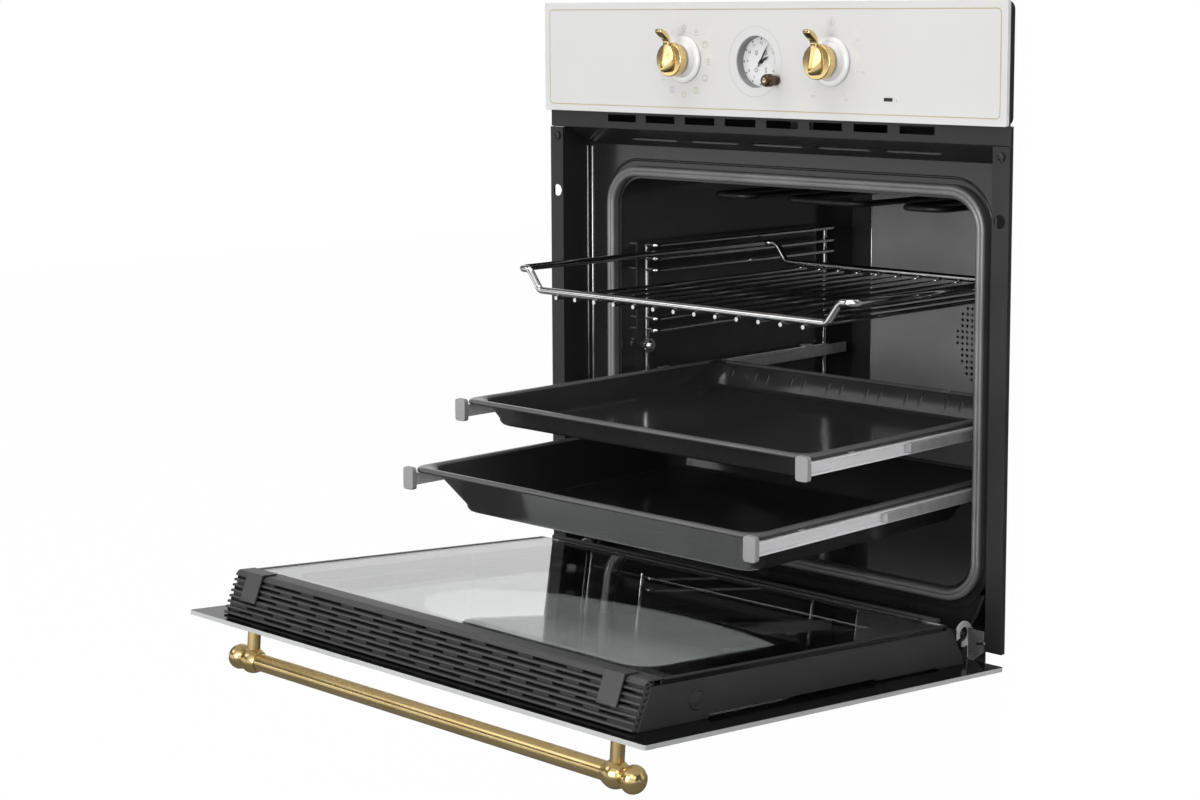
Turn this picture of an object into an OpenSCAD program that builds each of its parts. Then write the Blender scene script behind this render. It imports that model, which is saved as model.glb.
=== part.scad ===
// Built-in oven with a drop-down door, two trays on telescopic runners and a wire shelf.
// X runs across the front, Y into the cabinet from the back of the front flange, Z up from the underside.
// The door and the trays are drawn open, as the oven stands for loading.

/* [Front] */
// Width of the control panel and of the door glass
front_w = 595; // [590:1:600]
// Height from the underside to the top of the control panel
front_h = 595; // [590:1:605]
// Height of the control panel glass
fascia_h = 112; // [105:1:120]
// Thickness of the control panel glass and of the door front glass
glass_t = 4; // [3:0.5:5]
// Depth of the plastic housing behind the control panel glass
housing_d = 7; // [5:1:10]
// Height of the vent strip under the control panel
strip_h = 17.5; // [15:0.5:20]
// Number of vents in the strip
strip_vents = 8; // [6:1:10]

/* [Carcass] */
// Overlap of the front over each side panel
front_lap = 18; // [16:0.5:20]
// Depth behind the front flange
body_d = 545; // [520:1:560]
// Height of the front above the top of the carcass
front_rise = 18; // [15:1:22]
// Thickness of the sheet metal
sheet_t = 1; // [0.8:0.1:1.5]
// Depth of the folded flange in front of the cabinet
flange_t = 5.5; // [5:0.1:6]
// Depth of the recess that the door closes into
recess_d = 35; // [32:1:40]
// Diameter of the cabinet screw holes
screw_hole_d = 12.5; // [8:0.5:13]
// Height of the cabinet screw holes
screw_hole_z = 397.5; // [350:0.5:420]
// Distance from the front's side edge to the cabinet screw holes
screw_inset = 10.5; // [10:0.5:11]

/* [Cavity] */
// Inner width of the cavity
cavity_w = 480; // [470:1:490]
// Inner height of the cavity
cavity_h = 370; // [350:1:380]
// Depth of the cavity behind the front frame
cavity_d = 400; // [390:1:420]
// Height of the cavity floor
cavity_z = 42; // [40:1:50]
// Thickness of the cavity wall
cavity_t = 1.2; // [1:0.1:1.5]
// Width of the cavity mouth
mouth_w = 464; // [450:1:468]
// Corner radius of the cavity mouth
mouth_r = 30; // [24:1:36]
// Width of the gasket band
gasket_band = 10.5; // [8:0.5:12]
// Height of the gasket in front of the frame
gasket_d = 8; // [6:0.5:9]
// Thickness of the insulation
insulation_t = 24; // [15:1:26]
// Gap between the fan cover and the rear wall
fan_gap = 18; // [16:1:25]
// Height of the fan centre
fan_z = 217; // [200:1:240]
// Radius of the field of holes in the fan cover
holes_r = 68; // [50:1:80]
// Spacing of the holes in the fan cover
holes_pitch = 13.7; // [12:0.1:16]

/* [Door] */
// Width of the inner door
inner_door_w = 536; // [520:1:540]
// Gap between the closed door and the control panel
door_top_gap = 6; // [5:1:12]
// Gap under the closed door
door_gap = 5; // [4:0.5:8]
// Thickness of the inner door behind the front glass
inner_door_t = 38.7; // [36:0.1:40]
// Thickness of the inner glass
inner_glass_t = 4; // [3:0.5:5]
// Angle at which the door stands open
open_angle = 85.15; // [80:0.05:90]
// Diameter of the handle bar
handle_d = 16; // [12:0.5:20]
// Distance between the handle posts
handle_gap = 477; // [440:1:500]
// Distance from the door glass to the handle axis
handle_reach = 36.4; // [30:0.1:50]
// Distance from the upper edge of the door glass to the handle axis
handle_drop = 31.3; // [28:0.1:40]

/* [Inside] */
// Distance between the side rack wires
rack_gap = 467; // [460:1:470]
// Diameter of the side rack wires
rack_wire_d = 4.5; // [4:0.5:5]
// Height of the upper tray rim
upper_tray_z = 203; // [200:1:210]
// Height of the lower tray rim
lower_tray_z = 144; // [140:1:150]
// How far the upper tray stands out of the oven
upper_tray_out = 202; // [190:1:210]
// How far the lower tray stands out of the oven
lower_tray_out = 269.5; // [260:0.5:275]
// Depth of the upper tray
upper_tray_h = 27; // [20:1:32]
// Depth of the lower tray
lower_tray_h = 45; // [40:1:48]
// Width of the trays
tray_w = 448; // [440:1:450]
// Length of the trays from front to back
tray_l = 374; // [360:1:376]
// Height of the shelf side rails
shelf_z = 328.3; // [326:0.1:330]
// How far the shelf stands out of the oven
shelf_out = 129; // [100:1:132]
// Length of the shelf from front to back
shelf_l = 378; // [370:1:380]
// Number of the thin shelf wires
shelf_wires = 13; // [9:2:15]

/* [Controls] */
// Distance between the knobs
knob_gap = 191; // [185:1:200]
// Height of the knob axes above the lower edge of the control panel
knob_up = 55.2; // [52:0.1:58]
// Diameter of the white bezels
bezel_d = 47; // [44:1:50]
// Diameter of the gold knobs
knob_d = 33.7; // [30:0.1:36]
// Diameter of the clock opening
clock_d = 50.6; // [46:0.1:54]
// Depth of the clock well
clock_well = 8; // [6:0.5:9]
// Height of the clock centre above the lower edge of the control panel
clock_up = 54; // [52:0.5:57]

/* [Hidden] */
$fn = 48;

flange_y = -sheet_t;
front_y = flange_y - housing_d - glass_t;
glass_back_y = front_y + glass_t;
fascia_z = front_h - fascia_h;
body_w = front_w - 2 * front_lap;
body_h = front_h - front_rise;
screw_hole_gap = front_w - 2 * screw_inset;
side_x = body_w / 2;
inner_x = side_x - sheet_t;
plate_y = recess_d;
frame_back_y = plate_y + sheet_t;
cavity_back_y = frame_back_y + cavity_d;
fan_cover_y = cavity_back_y - fan_gap;
mouth_z = cavity_z;
mouth_h = cavity_h;
mouth_mid_z = mouth_z + mouth_h / 2;
gasket_lap = 4.5;
gasket_w = mouth_w + 2 * (gasket_lap + gasket_band);
gasket_h = mouth_h + 2 * (gasket_lap / 2 + gasket_band);
gasket_r = mouth_r + 12;
fix_gap = 0.3;
run_gap = 0.05;

// Hinge axis, and the door drawn shut before it is swung open
hinge_y = glass_back_y + 12.4;
hinge_z = 0;
hinge_x = inner_door_w / 2 - 18;
door_h = fascia_z - door_gap - door_top_gap;
handle_z = door_h - handle_drop;
frame_low = 50;
profile_low = door_h - 29;
profile_high = door_h - 16;

// Opening for the mains inlet in the rear panel
inlet = [60, 34];
inlet_at = [-200, 60];

// Centre of the oven lamp on the right wall
lamp_at = [cavity_w / 2, 270, 361];

// Cooling blower over the cavity
blower_y = 190;
blower_z = body_h - 59;

// Racks and runners
rack_x = rack_gap / 2;
rack_front_y = 75;
rack_back_y = 376;
pair_gap = 12.6;
rail_h = 12;
rail_top_gap = 6;
rail_l = 372;
upper_rail_z = upper_tray_z - rail_top_gap - rail_h / 2;
lower_rail_z = lower_tray_z - rail_top_gap - rail_h / 2;
shelf_d = 7;
rung_x = rack_x - 14.5;
nut_z = 227.5;
rung_z = [shelf_z - (shelf_d + rack_wire_d) / 2 - fix_gap - pair_gap / 2, 250.6, 76];
fixed_x = rack_x - rack_wire_d / 2 - fix_gap - 1.2;
middle_x = fixed_x - 0.4;
moving_x = middle_x - 2.8 - 8;
cap_w = 14;
cap_h = 22;
cap_t = 5;

// Knobs, clock and lamp lens
knob_z = fascia_z + knob_up;
clock_z = fascia_z + clock_up;
set_knob_at = [27.6, clock_z - 17.4];
lens_at = [164, fascia_z + 21];
bezel_h = 10;
knob_h = 9;
shaft_d = 6;

// Rounded rectangle centred on the origin
module rounded(w, h, r) {
  square([w - 2 * r, h], center = true);
  square([w, h - 2 * r], center = true);
  for (x = [-1, 1], y = [-1, 1]) translate([x * (w / 2 - r), y * (h / 2 - r)]) circle(r);
}

// Plate in the XZ plane from y0 towards the back
module upright(y0, t) { translate([0, y0 + t, 0]) rotate([90, 0, 0]) linear_extrude(t) children(); }

// Flat profile in the YZ plane, from x0 towards +X
module sideways(x0, t) { translate([x0, 0, 0]) rotate([90, 0, 90]) linear_extrude(t) children(); }

// Profile carried round a rounded rectangle in the XZ plane.
// The profile's x runs outwards from the outer edge, its y towards the viewer.
module framed(w, h, r) {
  rotate([90, 0, 0]) for (k = [0 : 3]) rotate(90 * k) {
    a = k % 2 == 0 ? w : h;
    b = k % 2 == 0 ? h : w;
    translate([a / 2, b / 2 - r, 0]) rotate([90, 0, 0]) linear_extrude(b - 2 * r) children();
    translate([a / 2 - r, b / 2 - r, 0]) rotate_extrude(angle = 90) translate([r, 0]) children();
  }
}

// Straight round bar between two points
module bar(p, q, d) {
  v = q - p;
  l = norm(v);
  translate(p) rotate([0, acos(v.z / l), atan2(v.y, v.x)]) cylinder(d = d, h = l);
}

function unit(v) = v / norm(v);

// Wire through points, with a round bend of radius r at each inner point
module wire(points, d, r) {
  last = len(points) - 1;
  turns = [for (i = [1 : last - 1])
    acos(unit(points[i] - points[i - 1]) * unit(points[i + 1] - points[i]))];
  cuts = concat([0], [for (t = turns) r * tan(t / 2)], [0]);
  for (i = [0 : last - 1]) {
    u = unit(points[i + 1] - points[i]);
    bar(points[i] + cuts[i] * u, points[i + 1] - cuts[i + 1] * u, d);
  }
  for (i = [1 : last - 1]) {
    u = unit(points[i] - points[i - 1]);
    n = unit(cross(u, points[i + 1] - points[i]));
    e = cross(u, n);
    c = points[i] - cuts[i] * u - r * e;
    multmatrix([[e.x, u.x, n.x, c.x], [e.y, u.y, n.y, c.y], [e.z, u.z, n.z, c.z]])
      rotate_extrude(angle = turns[i - 1]) translate([r, 0]) circle(d = d);
  }
}

module both_sides() {
  children();
  mirror([1, 0, 0]) children();
}

module door_open() {
  translate([0, hinge_y, hinge_z]) rotate([open_angle, 0, 0]) translate([0, -hinge_y, -hinge_z])
    children();
}

// Right side panel: front flange standing forward with a hem, long wall, rear return
module side_panel() {
  outer_x = front_w / 2 - 0.5;
  low_h = fascia_z - strip_h - 0.5;
  y0 = -flange_t;
  y1 = body_d - sheet_t;
  difference() {
    union() {
      linear_extrude(low_h) polygon([[inner_x, y1], [inner_x, y0], [outer_x, y0], [outer_x, 0],
        [outer_x - sheet_t, 0],
        [outer_x - sheet_t, y0 + sheet_t], [side_x, y0 + sheet_t], [side_x, y1]]);
      translate([inner_x, 0, low_h]) cube([sheet_t, y1, body_h - sheet_t - low_h]);
      translate([inner_x, flange_y, low_h]) cube([outer_x - inner_x, sheet_t, fascia_z - low_h]);
      translate([inner_x - 11, y1 - sheet_t, sheet_t]) cube([11.5, sheet_t, body_h - 2 * sheet_t]);
    }
    translate([screw_hole_gap / 2, 1, screw_hole_z]) rotate([90, 0, 0])
      cylinder(d = screw_hole_d, h = 10);
    for (k = [0 : 7]) translate([inner_x - 1, 60 + 14 * k, body_h - 60]) cube([3, 5, 40]);
  }
}

module side_panel_left() { color("#2b2b2d") mirror([1, 0, 0]) side_panel(); }
module side_panel_right() { color("#2b2b2d") side_panel(); }

module rear_panel() {
  color("#b9bcbe") difference() {
    upright(body_d - sheet_t, sheet_t) difference() {
      translate([0, body_h / 2]) square([body_w, body_h], center = true);
      for (x = [-1, 1], k = [0 : 9]) translate([x * 150 - 60, 90 + 14 * k]) square([120, 5]);
      for (k = [0 : 5]) translate([-200 + 70 * k, body_h - 60]) square([50, 30]);
      translate(inlet_at) square(inlet);
    }
    translate([0, body_d, fan_z]) rotate([90, 0, 0]) cylinder(d = 60, h = 10, center = true);
  }
}

module top_cover() {
  color("#b9bcbe") difference() {
    union() {
      translate([-side_x, 20, body_h - sheet_t]) cube([body_w, body_d - sheet_t - 20, sheet_t]);
      translate([-inner_x + 12, 20, body_h - 13]) cube([2 * inner_x - 24, sheet_t, 12]);
    }
    for (k = [0 : 8]) translate([-200 + 44 * k, 380, body_h - 3]) cube([5, 110, 6]);
  }
}

module base_plate() {
  color("#b9bcbe") difference() {
    union() {
      translate([-inner_x, frame_back_y, 0])
        cube([2 * inner_x, body_d - sheet_t - frame_back_y, sheet_t]);
      translate([-238, flange_y, 0]) cube([476, frame_back_y - flange_y + 1, sheet_t]);
    }
    for (k = [0 : 8]) translate([-200 + 44 * k, 120, -1]) cube([5, 300, 3]);
  }
}

// Hinge receiver welded behind the front frame, with the tab that stands below it in front
module hinge_receiver() {
  x0 = hinge_x - 9;
  difference() {
    translate([x0, frame_back_y, 4]) cube([18, 60, 50]);
    translate([x0 + 1.5, frame_back_y - 1, 5.5]) cube([15, 60, 47]);
  }
  translate([hinge_x + 9, 4, 1]) cube([1.2, plate_y - 4, 15]);
  difference() {
    translate([hinge_x + 3, 4, -14]) cube([19, 1.5, 30]);
    translate([hinge_x + 13, 3, 3]) cube([10, 4, 2]);
  }
}

// Enamelled plate round the mouth, with the sloped air guide above it
module front_frame() {
  guide_y0 = flange_y + fix_gap;
  guide_z0 = fascia_z - strip_h;
  guide_z1 = fascia_z - 36;
  slot_w = 65;
  slot_step = 84.5;
  color("#232325") {
    upright(plate_y, sheet_t) difference() {
      translate([0, (sheet_t + guide_z1) / 2])
        square([2 * inner_x - 0.4, guide_z1 - sheet_t], center = true);
      translate([0, mouth_mid_z]) rounded(mouth_w, mouth_h, mouth_r);
      for (x = [-1, 1]) translate([x * hinge_x, 27]) square([12, 40], center = true);
    }
    translate([0, plate_y + sheet_t, mouth_mid_z]) framed(mouth_w + 44, mouth_h + 44, 48)
      translate([-2.5, 1]) circle(1.2);
    difference() {
      sideways(-inner_x + 0.2, 2 * inner_x - 0.4)
        polygon([[guide_y0, guide_z0], [guide_y0, guide_z0 + 1.2],
        [plate_y + sheet_t, guide_z1 + 1.2], [plate_y + sheet_t, guide_z1 - 0.5],
          [plate_y, guide_z1 - 0.5]]);
      for (k = [-2 : 2]) translate([k * slot_step - slot_w / 2, 17, guide_z1 - 7]) cube([slot_w, 5, 30]);
    }
  }
  color("#8e9092") both_sides() hinge_receiver();
}

module insulation() {
  gap = 0.5;
  w = cavity_w + 2 * cavity_t + 2 * gap;
  h = cavity_h + 2 * cavity_t + 2 * gap;
  y0 = frame_back_y + 12;
  y1 = cavity_back_y + cavity_t + gap;
  color("#d9c98f") difference() {
    upright(y0, y1 - y0 + insulation_t) translate([0, mouth_mid_z])
      square([w + 2 * insulation_t, h + 2 * insulation_t], center = true);
    upright(y0 - 1, y1 - y0 + 1) translate([0, mouth_mid_z - 5]) square([w, h + 10], center = true);
    translate([0, cavity_back_y + 40, fan_z]) rotate([90, 0, 0]) cylinder(d = 90, h = 80, center = true);
    for (x = [-1, 1]) translate([x * hinge_x - 12, y0 - 1, 0]) cube([24, 70, 62]);
    translate(lamp_at) rotate([0, 90, 0]) cylinder(d = 66, h = 100, center = true);
    for (x = [-110, 110]) translate([x, y1 - 2, 395]) rotate([-90, 0, 0]) cylinder(d = 20, h = 60);
    for (x = [-24, 24]) translate([x, y1 - 2, fan_z - 95]) rotate([-90, 0, 0]) cylinder(d = 20, h = 60);
    for (x = [-20, 20]) translate([x, y1 - 2, cavity_z - 5]) rotate([-90, 0, 0]) cylinder(d = 12, h = 60);
  }
}

module panel_screw() {
  difference() {
    union() {
      rotate([90, 0, 0]) cylinder(d = 9.5, h = 2);
      intersection() {
        translate([0, 1.5, 0]) sphere(d = 9.5);
        translate([0, -3.5, 0]) rotate([90, 0, 0]) cylinder(d = 9, h = 6, center = true);
      }
    }
    translate([0, -3.6, 0]) cube([6, 3, 1.2], center = true);
    translate([0, -3.6, 0]) cube([1.2, 3, 6], center = true);
  }
}

module panel_screws() {
  color("#4a4a4c") both_sides() translate([screw_hole_gap / 2, -flange_t, fascia_z - 27.5]) panel_screw();
}

module terminal_block() {
  block = [inlet.x - 2 * fix_gap, 24, inlet.y - 2 * fix_gap];
  color("#e8e6de") translate([inlet_at.x + fix_gap, body_d - sheet_t - 2, inlet_at.y + fix_gap])
    difference() {
      union() {
        cube(block);
        translate([-6, 0, -6]) cube([block.x + 12, 2, block.z + 12]);
      }
      for (k = [0 : 4]) translate([block.x / 2 + 9.8 * (k - 2), block.y + 1, block.z / 2])
        rotate([90, 0, 0]) cylinder(d = 5, h = 14);
      translate([block.x / 2, block.y / 2, -1]) cylinder(d = 11, h = 10);
    }
}

module cavity() {
  boss_d = 24;
  color("#1d1d1f") difference() {
    upright(frame_back_y, cavity_d + cavity_t) translate([0, mouth_mid_z])
      rounded(cavity_w + 2 * cavity_t, cavity_h + 2 * cavity_t, mouth_r);
    upright(frame_back_y - 1, cavity_d + 1) translate([0, mouth_mid_z])
      rounded(cavity_w, cavity_h, mouth_r - 1);
    translate([0, cavity_back_y + 2, fan_z]) rotate([90, 0, 0])
      cylinder(d = boss_d, h = 10, center = true);
    translate(lamp_at) rotate([0, 90, 0]) cylinder(d = 36, h = 20, center = true);
    for (x = [-110, 110]) translate([x, cavity_back_y + 2, 395]) rotate([90, 0, 0])
      cylinder(d = 7.2, h = 10, center = true);
    for (x = [-24, 24]) translate([x, cavity_back_y + 2, fan_z - 95]) rotate([90, 0, 0])
      cylinder(d = 7.2, h = 10, center = true);
  }
  color("#1d1d1f") both_sides() for (y = [rack_front_y, rack_back_y])
    translate([rack_x + rack_wire_d / 2 + 0.3, y, nut_z]) rotate([0, 90, 0])
      cylinder(d = 9, h = cavity_w / 2 - rack_x - rack_wire_d / 2 + 0.2);
}

module door_gasket() {
  color("#6f6f72") translate([0, plate_y, mouth_mid_z]) framed(gasket_w, gasket_h, gasket_r) {
    translate([-gasket_band, 0]) square([gasket_band, gasket_d - gasket_band / 4]);
    translate([-gasket_band * 0.3, gasket_d - gasket_band * 0.3]) circle(gasket_band * 0.3);
    translate([-gasket_band * 0.7, gasket_d - gasket_band * 0.3]) circle(gasket_band * 0.3);
    translate([-gasket_band * 0.7, 0]) square([gasket_band * 0.4, gasket_d - 1]);
  }
}

module fan_cover() {
  w = 393;
  z0 = 60;
  z1 = 384;
  n = floor(holes_r / holes_pitch);
  color("#5b5b5e") difference() {
    union() {
      upright(fan_cover_y, cavity_t) difference() {
        translate([0, (z0 + z1) / 2]) rounded(w, z1 - z0, 14);
        for (i = [-n : n], k = [-n : n]) if (norm([i, k]) * holes_pitch <= holes_r)
          translate([i * holes_pitch, fan_z + k * holes_pitch]) circle(d = 7.4, $fn = 8);
        translate([-141, 365.6]) circle(d = 4);
      }
      for (x = [-1, 1]) translate([x * (w / 2 - 0.6) - 0.6, fan_cover_y, z0 + 14])
        cube([1.2, fan_gap - fix_gap, z1 - z0 - 28]);
      for (z = [z0, z1 - 1.2]) translate([-w / 2 + 14, fan_cover_y, z])
        cube([w - 28, fan_gap - fix_gap, 1.2]);
    }
    for (x = [-1, 1], k = [0 : 5]) translate([x * w / 2 - 3, fan_cover_y + 4, z0 + 30 + 46 * k])
      cube([6, 9, 34]);
  }
}

module convection_fan() {
  blades = 12;
  y0 = fan_cover_y + 5;
  color("#c4c6c8") translate([0, y0, fan_z]) rotate([-90, 0, 0]) difference() {
    union() {
      translate([0, 0, 9]) cylinder(d = 130, h = 1);
      cylinder(d = 20, h = 10);
      for (k = [0 : blades - 1]) rotate(360 / blades * k) translate([34, 0, 1]) rotate(32)
        cube([30, 1.2, 8.5]);
      translate([0, 0, 9]) cylinder(d = 8, h = 48);
    }
    translate([0, 0, -1]) cylinder(d = 5, h = 6);
  }
}

module fan_motor() {
  y0 = cavity_back_y + 28;
  color("#9a9da0") translate([0, y0, fan_z]) rotate([-90, 0, 0]) difference() {
    union() {
      cylinder(d = 54, h = 22);
      translate([0, 0, 22]) cylinder(d = 24, h = 10);
      for (k = [0 : 2]) rotate(120 * k) {
        translate([0, -5, 0]) cube([44, 10, 2]);
        translate([40, 0, -26.3]) cylinder(d = 7, h = 27);
      }
    }
    translate([0, 0, -1]) cylinder(d = 8 + 2 * run_gap, h = 20);
  }
}

// Sheathed element: a ring with both ends turned out through the rear wall
module ring_heater() {
  r = 88;
  d = 6.4;
  y0 = fan_cover_y + 9.5;
  a = asin(24 / r);
  color("#7b7470") translate([0, y0, fan_z]) {
    rotate([90, 0, 0]) rotate(-90 + a) rotate_extrude(angle = 360 - 2 * a) translate([r, 0])
      circle(d = d);
    for (x = [-1, 1]) {
      translate([x * 24, 0, -r * cos(a)]) sphere(d = d);
      bar([x * 24, 0, -r * cos(a)], [x * 24, 0, -95], d);
      translate([x * 24, 0, -95]) sphere(d = d);
      translate([x * 24, 0, -95]) rotate([-90, 0, 0]) cylinder(d = d, h = 45);
    }
  }
}

module grill_heater() {
  d = 6.5;
  z = 395;
  y0 = 90;
  y1 = 330;
  color("#7b7470") wire([[-110, cavity_back_y + 30, z], [-110, y1 + 30, z], [-150, y1 + 30, z],
    [-150, y0, z],
    [-100, y0, z], [-100, y1, z], [-50, y1, z], [-50, y0, z], [50, y0, z], [50, y1, z], [100, y1, z],
      [100, y0, z],
    [150, y0, z], [150, y1 + 30, z], [110, y1 + 30, z], [110, cavity_back_y + 30, z]], d, 16);
  color("#7b7470") for (x = [-100, 100]) translate([x, 200, z])
    cylinder(d = 4, h = cavity_z + cavity_h - fix_gap - z);
}

module bottom_heater() {
  d = 6.5;
  z = cavity_z - cavity_t - d / 2 - fix_gap;
  color("#7b7470") wire([[-20, 440, z], [-20, 380, z], [-150, 380, z], [-150, 110, z], [150, 110, z],
    [150, 380, z],
    [20, 380, z], [20, 440, z]], d, 18);
}

module lamp_holder() {
  color("#d8d4c8") translate(lamp_at + [cavity_t + fix_gap, 0, 0]) rotate([0, 90, 0]) difference() {
    union() {
      cylinder(d = 54, h = 2);
      cylinder(d = 40, h = 24);
    }
    translate([0, 0, -1]) cylinder(d = 35, h = 21);
    translate([0, 0, -1]) cylinder(d = 14, h = 40);
  }
  color("#f5efdc") translate(lamp_at + [cavity_t + 6, 0, 0]) rotate([0, 90, 0]) {
    cylinder(d = 14 - 2 * fix_gap, h = 18);
    sphere(d = 20);
  }
}

module lamp_glass() {
  color("#f2f2ee") translate(lamp_at - [fix_gap, 0, 0]) rotate([0, -90, 0]) difference() {
    union() {
      cylinder(d = 41, h = 4);
      translate([0, 0, 4]) cylinder(d1 = 38, d2 = 32, h = 6);
    }
    translate([0, 0, -1]) cylinder(d = 28, h = 8.5);
  }
}

// Rung that steps inwards from the posts
module rung(z) {
  wire([[rack_x, rack_front_y, z], [rung_x, rack_front_y, z], [rung_x, rack_back_y, z],
    [rack_x, rack_back_y, z]],
    rack_wire_d, 5);
}

// Wire ladder with a knurled nut on each post
module side_rack() {
  x = rack_x;
  d = rack_wire_d;
  top_z = 336.8;
  low_z = 66;
  for (y = [rack_front_y, rack_back_y]) bar([x, y, low_z], [x, y, top_z], d + 0.5);
  rung(top_z);
  for (z = rung_z, k = [-1, 1]) rung(z + k * pair_gap / 2);
  for (z = [upper_rail_z, lower_rail_z], k = [-1, 1])
    bar([x, rack_front_y - 6, z + k * pair_gap / 2], [x, rack_back_y + 6, z + k * pair_gap / 2], d);
  for (y = [rack_front_y, rack_back_y]) translate([x - d / 2 + 1, y, nut_z]) rotate([0, -90, 0]) {
    cylinder(d = 15, h = 4);
    for (a = [0 : 20 : 340]) rotate(a) translate([7.2, 0, 0]) cylinder(d = 1.6, h = 4, $fn = 6);
    translate([0, 0, 4]) cylinder(d1 = 11, d2 = 8, h = 4);
  }
}

module side_racks() { color("#d4d6d8") both_sides() side_rack(); }

module fascia_glass() {
  color("#ecebe8") upright(front_y, glass_t) difference() {
    translate([0, fascia_z + fascia_h / 2]) rounded(front_w, fascia_h, 2);
    for (x = [-1, 1]) translate([x * knob_gap / 2, knob_z]) circle(d = 12);
    translate([0, clock_z]) circle(d = clock_d);
    translate(set_knob_at) circle(d = 5);
    translate(lens_at) square([10.5, 3.4], center = true);
  }
}

// Tray-shaped plastic housing, open to the back
module fascia_housing() {
  wall = 2.4;
  y0 = glass_back_y;
  color("#333336") difference() {
    upright(y0, housing_d) translate([0, fascia_z + fascia_h / 2])
      rounded(front_w - 0.6, fascia_h - 0.6, 8);
    upright(y0 + wall, housing_d) translate([0, fascia_z + fascia_h / 2])
      rounded(front_w - 0.6 - 2 * wall, fascia_h - 0.6 - 2 * wall, 6);
    upright(y0 - 1, 5) {
      for (x = [-1, 1]) translate([x * knob_gap / 2, knob_z]) circle(d = 20);
      translate([0, clock_z]) circle(d = clock_d + 8);
      translate(set_knob_at) circle(d = 8);
      translate(lens_at) square([12, 5], center = true);
    }
  }
}

module vent_strip() {
  y0 = flange_y - 3;
  z0 = fascia_z - strip_h;
  span = 438;
  step = span / strip_vents;
  color("#2b2b2d") {
    upright(y0, 1.5) difference() {
      translate([0, z0 + strip_h / 2]) square([front_w - 1, strip_h - 0.4], center = true);
      for (k = [0 : strip_vents - 1]) translate([-span / 2 + step * (k + 0.5), fascia_z - 6.6])
        square([step - 14, 7.4], center = true);
    }
    translate([-front_w / 2 + 0.5, y0, z0 + 0.2]) cube([front_w - 1, 3, 1.2]);
    for (x = [-1, 1]) translate([x * (front_w / 2 - 1.1) - 0.6, y0, z0 + 0.2])
      cube([1.2, 3, strip_h - 0.4]);
  }
}

// White domed ring that the knob turns on
module knob_bezels() {
  color("#f1efeb") for (x = [-1, 1]) translate([x * knob_gap / 2, front_y, knob_z]) rotate([90, 0, 0])
    rotate_extrude() polygon(concat([[5, 0], [bezel_d / 2 - 1, 0]],
      [for (a = [0 : 15 : 90]) [bezel_d / 2 - 5 + 5 * cos(a), 2.2 + 2.5 * sin(a)]],
      [for (t = [0.25 : 0.25 : 1]) [bezel_d / 2 - 5 - 4 * t, 4.7 + (bezel_h - 4.7) * (1 - pow(1 - t,
        2))]],
      [[knob_d / 2 - 2, bezel_h], [5, bezel_h]]));
}

// Gold knob: a round body with a blade across it that curls forward at the top
module lever_knob() {
  y0 = -bezel_h - fix_gap;
  rotate([90, 0, 0]) translate([0, 0, -y0]) rotate_extrude()
    polygon([[0, 0], [knob_d / 2 - 0.8, 0], [knob_d / 2, 0.8],
    [knob_d / 2, knob_h - 2], [knob_d / 2 - 0.6, knob_h - 0.6], [knob_d / 2 - 2, knob_h],
      [0, knob_h + 1]]);
  blade_y = y0 - knob_h;
  sideways(-5.5, 11) polygon(concat(
    [[blade_y + 2, -15], [blade_y - 3, -14.5]],
    [for (t = [0.2 : 0.2 : 1]) [blade_y - 3 - 9 * sin(90 * t), -14.5 + 22 * t]],
    [for (t = [0.25 : 0.25 : 1]) [blade_y - 12 + 4 * sin(180 * t) , 7.5 + 12 * t]],
    [for (a = [-80 : 26 : 76]) [blade_y - 13 - 6 * cos(a), 24.5 + 5 * sin(a)]],
    [for (t = [0 : 0.25 : 1]) [blade_y - 10 + 8 * t, 30.5 - 8 * t * t]],
    [[blade_y + 1, 16], [blade_y + 2, 14]]));
  translate([0, y0 + 1, 0]) rotate([-90, 0, 0]) cylinder(d = shaft_d, h = bezel_h + glass_t + 34);
}

module function_knob() { color("#c39a3f") translate([-knob_gap / 2, front_y, knob_z]) lever_knob(); }
module temperature_knob() { color("#c39a3f") translate([knob_gap / 2, front_y, knob_z]) lever_knob(); }

module selector_switch() {
  y0 = glass_back_y + 3;
  color("#c9c2b0") translate([-knob_gap / 2, y0, knob_z]) rotate([-90, 0, 0]) difference() {
    union() {
      translate([-28, -11, 0]) cube([56, 22, 1.5]);
      cylinder(d = 42, h = 34);
      for (k = [0 : 3]) rotate(45 + 90 * k) translate([18, -3, 6]) cube([9, 6, 1]);
    }
    translate([0, 0, -1]) cylinder(d = shaft_d + 2 * run_gap, h = 40);
  }
}

module thermostat() {
  y0 = glass_back_y + 3;
  color("#cfd0d0") translate([knob_gap / 2, y0, knob_z]) rotate([-90, 0, 0]) difference() {
    union() {
      translate([-28, -11, 0]) cube([56, 22, 1.5]);
      translate([-20, -22, 0]) cube([40, 44, 26]);
      translate([0, 0, 26]) cylinder(d = 30, h = 6);
    }
    translate([0, 0, -1]) cylinder(d = shaft_d + 2 * run_gap, h = 40);
  }
}

module clock_case() {
  y0 = front_y + 1;
  color("#8d8d8f") translate([0, y0, clock_z]) rotate([-90, 0, 0]) difference() {
    union() {
      cylinder(d = clock_d - 0.2, h = 10);
      translate([0, 0, glass_t - 1 + 0.2]) cylinder(d = clock_d + 7, h = 24);
    }
    translate([0, 0, -1]) cylinder(d = clock_d - 1.8, h = clock_well + 2.2);
    cylinder(d = 3 + 2 * run_gap, h = 20);
    translate([set_knob_at.x, clock_z - set_knob_at.y, -3]) cylinder(d = 3.1, h = 20);
  }
}

module clock_dial() {
  y0 = front_y + 1 + clock_well;
  color("#f4f3ef") translate([0, y0, clock_z]) rotate([-90, 0, 0]) difference() {
    cylinder(d = clock_d - 2.4, h = 1.2);
    translate([0, 0, -1]) cylinder(d = 4, h = 4);
  }
}

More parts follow.
